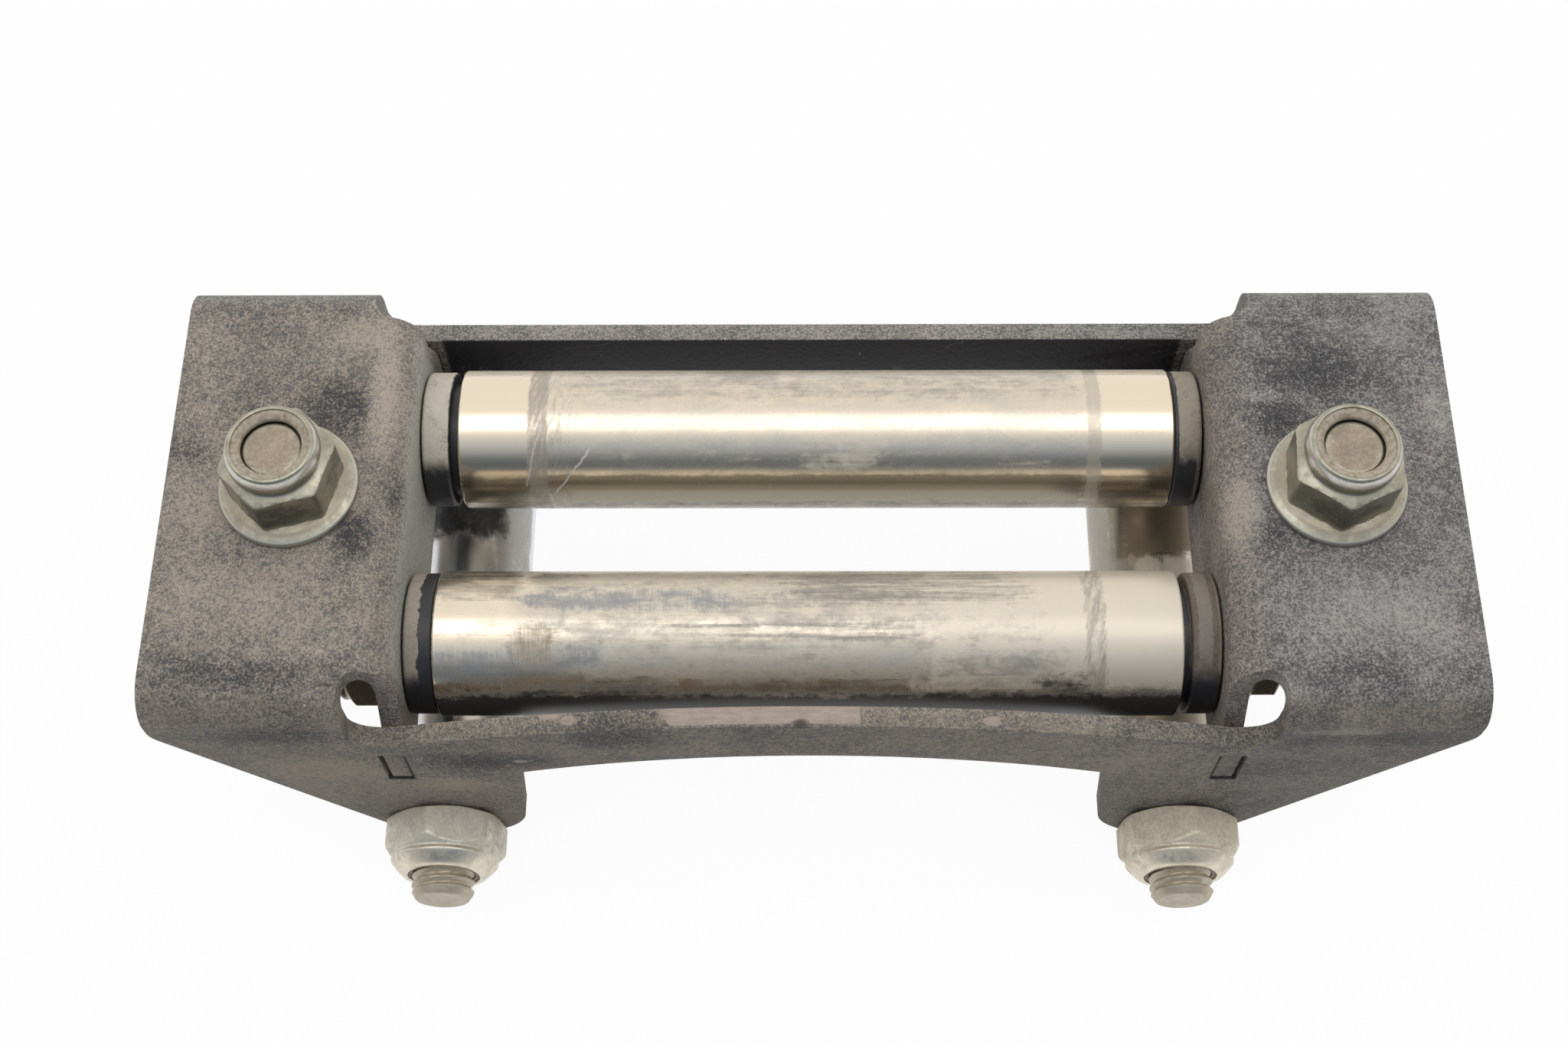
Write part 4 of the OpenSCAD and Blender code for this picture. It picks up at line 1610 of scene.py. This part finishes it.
def level_rollers() -> list[Roller]:
    """The two level rollers with their own wear and painted shade.

    Returns:
        The upper and the lower roller.
    """
    spots = {key: Span.of(f"{key}_tube").middle for key in ("upper", "lower")}
    upper, lower = (Axle(True, spots[key][1], spots[key][2]) for key in ("upper", "lower"))
    round_it = (-190.0, 190.0)
    upper_zinc = RollerZinc(
        "upper_roller_zinc", upper,
        marks=(
            Mark(Stain.SCUFF, (-43.3, -40.0), round_it, (0.5, 8.0), 0.64),
            Mark(Stain.SCUFF, (-40.6, -36.0), round_it, (1.2, 8.0), 0.32),
            Mark(Stain.BAND, (41.8, 44.2), round_it, (0.55, 8.0), 0.72),
            Mark(Stain.DULL, (-39.0, 41.0), (94.0, 150.0), (5.0, 10.0), 0.46),
            Mark(Stain.DULL, (-17.0, -3.0), (108.0, 150.0), (4.0, 12.0), 0.64),
            Mark(Stain.DULL, (12.0, 30.0), (96.0, 126.0), (5.0, 10.0), 0.52),
            Mark(Stain.CREAM, (-1.5, 12.5), (32.0, 72.0), (4.0, 10.0), 0.52),
            Mark(Stain.CREAM, (-36.0, 40.0), (36.0, 74.0), (4.0, 9.0), 0.24),
            Mark(Stain.CREAM, (-60.0, 60.0), (127.0, 230.0), (1.0, 6.0), 0.75),
            Mark(Stain.RUST, (46.0, 54.0), (62.0, 78.0), (1.2, 5.0), 0.26),
            # Dirt together with painted shade and dark reflection on the underside of the tube
            Mark(Stain.SOOT_AND_SHADE, (-41.0, 42.0), (-80.0, 32.0), (2.0, 4.0), 0.85),
            Mark(Stain.SOOT_AND_SHADE, (-60.0, 60.0), (-80.0, 31.0), (2.0, 4.0), 0.62),
            Mark(Stain.GRIME_AND_SHADE, (-60.0, 60.0), (-80.0, 2.0), (1.0, 9.0), 0.40),
        ),
        scratches=(
            Scratch((-33.8, 54.0), (-39.4, 12.0), 0.30, 0.9),
            Scratch((-41.0, 78.0), (-43.6, 20.0), 0.22, 0.6),
        ),
    )
    lower_zinc = RollerZinc(
        "lower_roller_zinc", lower,
        marks=(
            Mark(Stain.CREAM, (-37.0, 22.0), (34.0, 200.0), (5.0, 10.0), 0.60),
            Mark(Stain.CREAM, (14.0, 60.0), (26.0, 200.0), (6.0, 8.0), 0.86),
            Mark(Stain.CREAM, (-60.0, -40.0), (124.0, 230.0), (3.0, 6.0), 0.70),
            Mark(Stain.CREAM, (-60.0, -36.0), (44.0, 124.0), (3.0, 10.0), 0.44),
            Mark(Stain.DULL, (-8.0, 36.0), (64.0, 98.0), (6.0, 10.0), 0.34),
            Mark(Stain.DULL, (-44.0, 20.0), (28.0, 150.0), (5.0, 10.0), 0.46),
            Mark(Stain.DULL, (16.0, 38.0), (26.0, 66.0), (5.0, 10.0), 0.50),
            # Painted dark reflection of the upper roller over the top of the left end
            Mark(Stain.SOOT_AND_SHADE, (-60.0, -42.0), (101.0, 170.0), (3.0, 13.0), 0.60),
            Mark(Stain.SCUFF, (39.4, 42.8), round_it, (0.6, 8.0), 0.52),
            Mark(Stain.WORN, (-43.0, -11.0), (92.0, 116.0), (4.0, 9.0), 0.58),
            Mark(Stain.WORN, (-37.5, -29.0), (46.0, 70.0), (2.5, 9.0), 0.56),
            Mark(Stain.WORN, (-56.0, -42.0), (30.0, 66.0), (3.0, 10.0), 0.55),
            Mark(Stain.RUST, (-43.8, -36.8), (50.0, 82.0), (1.6, 11.0), 0.56),
            Mark(Stain.STREAK, (-6.0, 32.0), (96.0, 150.0), (8.0, 11.0), 0.58),
            Mark(Stain.STREAK, (-25.0, 20.0), (78.0, 84.0), (9.0, 4.0), 0.56),
            Mark(Stain.STREAK, (-15.0, 22.0), (68.5, 75.0), (9.0, 4.0), 0.52),
            # Darker along the underside of the tube, its whole length
            Mark(Stain.GRIME_AND_SHADE, (-60.0, 60.0), (-80.0, 25.0), (1.0, 15.0), 0.95),
            Mark(Stain.GRIME_AND_SHADE, (-46.0, -18.0), (0.0, 38.0), (6.0, 15.0), 0.58),
            Mark(Stain.GRIME_AND_SHADE, (31.5, 41.0), (10.0, 44.0), (3.0, 11.0), 0.58),
            Mark(Stain.GRIME_AND_SHADE, (42.0, 54.0), (0.0, 34.0), (3.0, 8.0), 0.52),
        ),
        worn_span=(-44.0, 56.0),
        wear=0.55,
    )
    tan, brown = (0.33, 0.29, 0.235), (0.165, 0.132, 0.103)
    dust_of = {
        "upper_left": (Dusting((-70.0, -55.3), (40.0, 200.0), (0.56, 0.515, 0.43), 0.12),),
        "upper_right": (
            Dusting((55.9, 70.0), (48.0, 200.0), (0.37, 0.318, 0.255), 0.15, 0.9),
            Dusting((58.6, 70.0), (-10.0, 60.0), brown, 0.25, 0.7),
        ),
        "lower_left": (Dusting((-70.0, -57.2), (38.0, 200.0), tan, 0.6),),
        "lower_right": (
            Dusting((55.0, 70.0), (40.0, 200.0), brown, 0.2, 0.9),
            Dusting((55.9, 58.0), (52.0, 200.0), (0.235, 0.212, 0.185), 0.3, 0.8),
            Dusting((58.9, 70.0), (40.0, 200.0), tan, 0.15, 0.7),
        ),
    }
    steel = Hardware(
        "level_axle_zinc", zinc=(0.42, 0.36, 0.28), dull=(0.24, 0.20, 0.155), film=0.6, metal=0.7
    )
    made = []
    for key, axle, zinc in (("upper", upper, upper_zinc), ("lower", lower, lower_zinc)):
        bushes = {
            end: BushPlastic(f"{key}_{end}_bush", axle, dust_of[f"{key}_{end}"])
            for end in ("left", "right")
        }
        made.append(Roller(key, True, zinc, bushes, steel, steel, SIZES.head_turn, SIZES.nut_turn))
    return made


def upright_rollers() -> list[Roller]:
    """The two upright rollers with their own wear and painted shade.

    Returns:
        The left and the right roller.
    """
    made = []
    # Painted shadow and dark reflection of the upper roller: the upper parts of the upright tubes are
    # darkened
    wear_and_shade_of = {
        "left": (
            Mark(Stain.GRIME_AND_SHADE, (9.0, 40.0), (46.0, 230.0), (2.6, 16.0), 0.72),
            Mark(Stain.DULL, (-40.0, 40.0), (10.0, 60.0), (3.0, 8.0), 0.80),
        ),
        "right": (
            Mark(Stain.SOOT_AND_SHADE, (6.0, 40.0), (-60.0, 140.0), (1.8, 9.0), 0.90),
            Mark(Stain.DULL, (-40.0, 40.0), (118.0, 230.0), (3.0, 9.0), 0.75),
            Mark(Stain.RUST, (6.0, 40.0), (-60.0, 126.0), (1.8, 12.0), 0.70),
            Mark(Stain.CREAM, (-40.0, 6.0), (-60.0, 140.0), (1.8, 9.0), 0.66),
        ),
    }
    plating = {"left": (0.72, 0.745, 0.78), "right": (0.70, 0.63, 0.52)}
    dust_of = {"left": (0.78, 0.74, 0.63), "right": (0.84, 0.735, 0.555)}
    for key, nut_turn, weight in (("left", 41.0, 0.66), ("right", 21.0, 0.80)):
        x, _, z = Span.of(f"{key}_tube").middle
        seat = Span.of(f"{key}_nut").high[1]
        axle, dust = Axle(False, x, z), dust_of[key]
        zinc = RollerZinc(
            f"{key}_roller_zinc", axle, wear_and_shade_of[key], worn_span=(-22.0, 22.0), wear=0.3, nicked=0.0,
            clean=plating[key],
        )
        dusty = (Patch((x, seat - 3.0, z), (16.0, 9.0, 16.0), weight),)
        nut_steel = Hardware(
            f"{key}_nut_zinc", zinc=(0.82, 0.765, 0.64), dull=(0.70, 0.61, 0.46), dust=dust,
            film=0.4, shine=0.25, metal=0.90, dusty=dusty,
        )
        bolt_steel = Hardware(
            f"{key}_axle_zinc", zinc=(0.66, 0.60, 0.48), dull=(0.46, 0.39, 0.28),
            film=0.6, shine=0.28, metal=0.6,
        )
        bushes = dict.fromkeys(("top", "bottom"), BushPlastic(f"{key}_roller_bush", axle))
        made.append(Roller(key, False, zinc, bushes, bolt_steel, nut_steel, 0.0, nut_turn))
    return made


def mount_sets() -> list[MountSet]:
    """The two sets of mounting hardware.

    Returns:
        The left and the right set.
    """
    made = []
    for key, nut_turn in (("left", 15.0), ("right", 26.0)):
        span = Span.of(f"{key}_mount_nut")
        x, top, seat = span.middle[0], span.high[2], span.low[2]
        dusty = (
            Patch((x, 0.0, top - 1.2), (5.4, 5.4, 1.6), 0.95),
            Patch((x, 0.0, top + 0.6), (9.0, 9.0, 1.4), 0.60),
        )
        # Dark grime on the flats facing down the part and on the right side, also painting their shade
        soiled_and_shaded = (
            Patch((x - 1.0, -8.6, seat + 5.4), (9.0, 6.5, 4.6), 0.75),
            Patch((x + 7.5, 1.0, seat + 5.4), (4.0, 7.0, 4.6), 0.45),
        )
        rims = (
            Rim((x, 0.0), (7.6, 9.2), (seat + 0.9, seat + 2.6), (0.36, 0.30, 0.215), 0.1, 0.55),
            Rim((x, 0.0), (9.7, 10.4), (seat, seat + 1.2), (0.58, 0.56, 0.49), 0.9, 0.6),
            # Rubbed zinc round the top of the collar, brightened as a painted highlight line
            Rim((x, 0.0), (6.15, 7.0), (top - 1.6, top - 0.2), (0.74, 0.72, 0.68), 1.0, 0.7),
        )
        steel = Hardware(
            f"{key}_mounting_zinc", zinc=(0.52, 0.495, 0.40), dull=(0.25, 0.235, 0.175), film=0.5, shine=0.24,
            dusty=dusty, soiled_and_shaded=soiled_and_shaded, rims=rims,
        )
        made.append(MountSet(key, nut_turn, steel))
    return made


def main() -> None:
    """Builds the studio and every sub-assembly in order."""
    logging.basicConfig(level=logging.INFO, format="%(name)s: %(message)s")
    Studio().build()
    FrameSheet().build()
    for assembly in (*level_rollers(), *upright_rollers(), *mount_sets()):
        assembly.build()


if __name__ == "__main__":
    main()
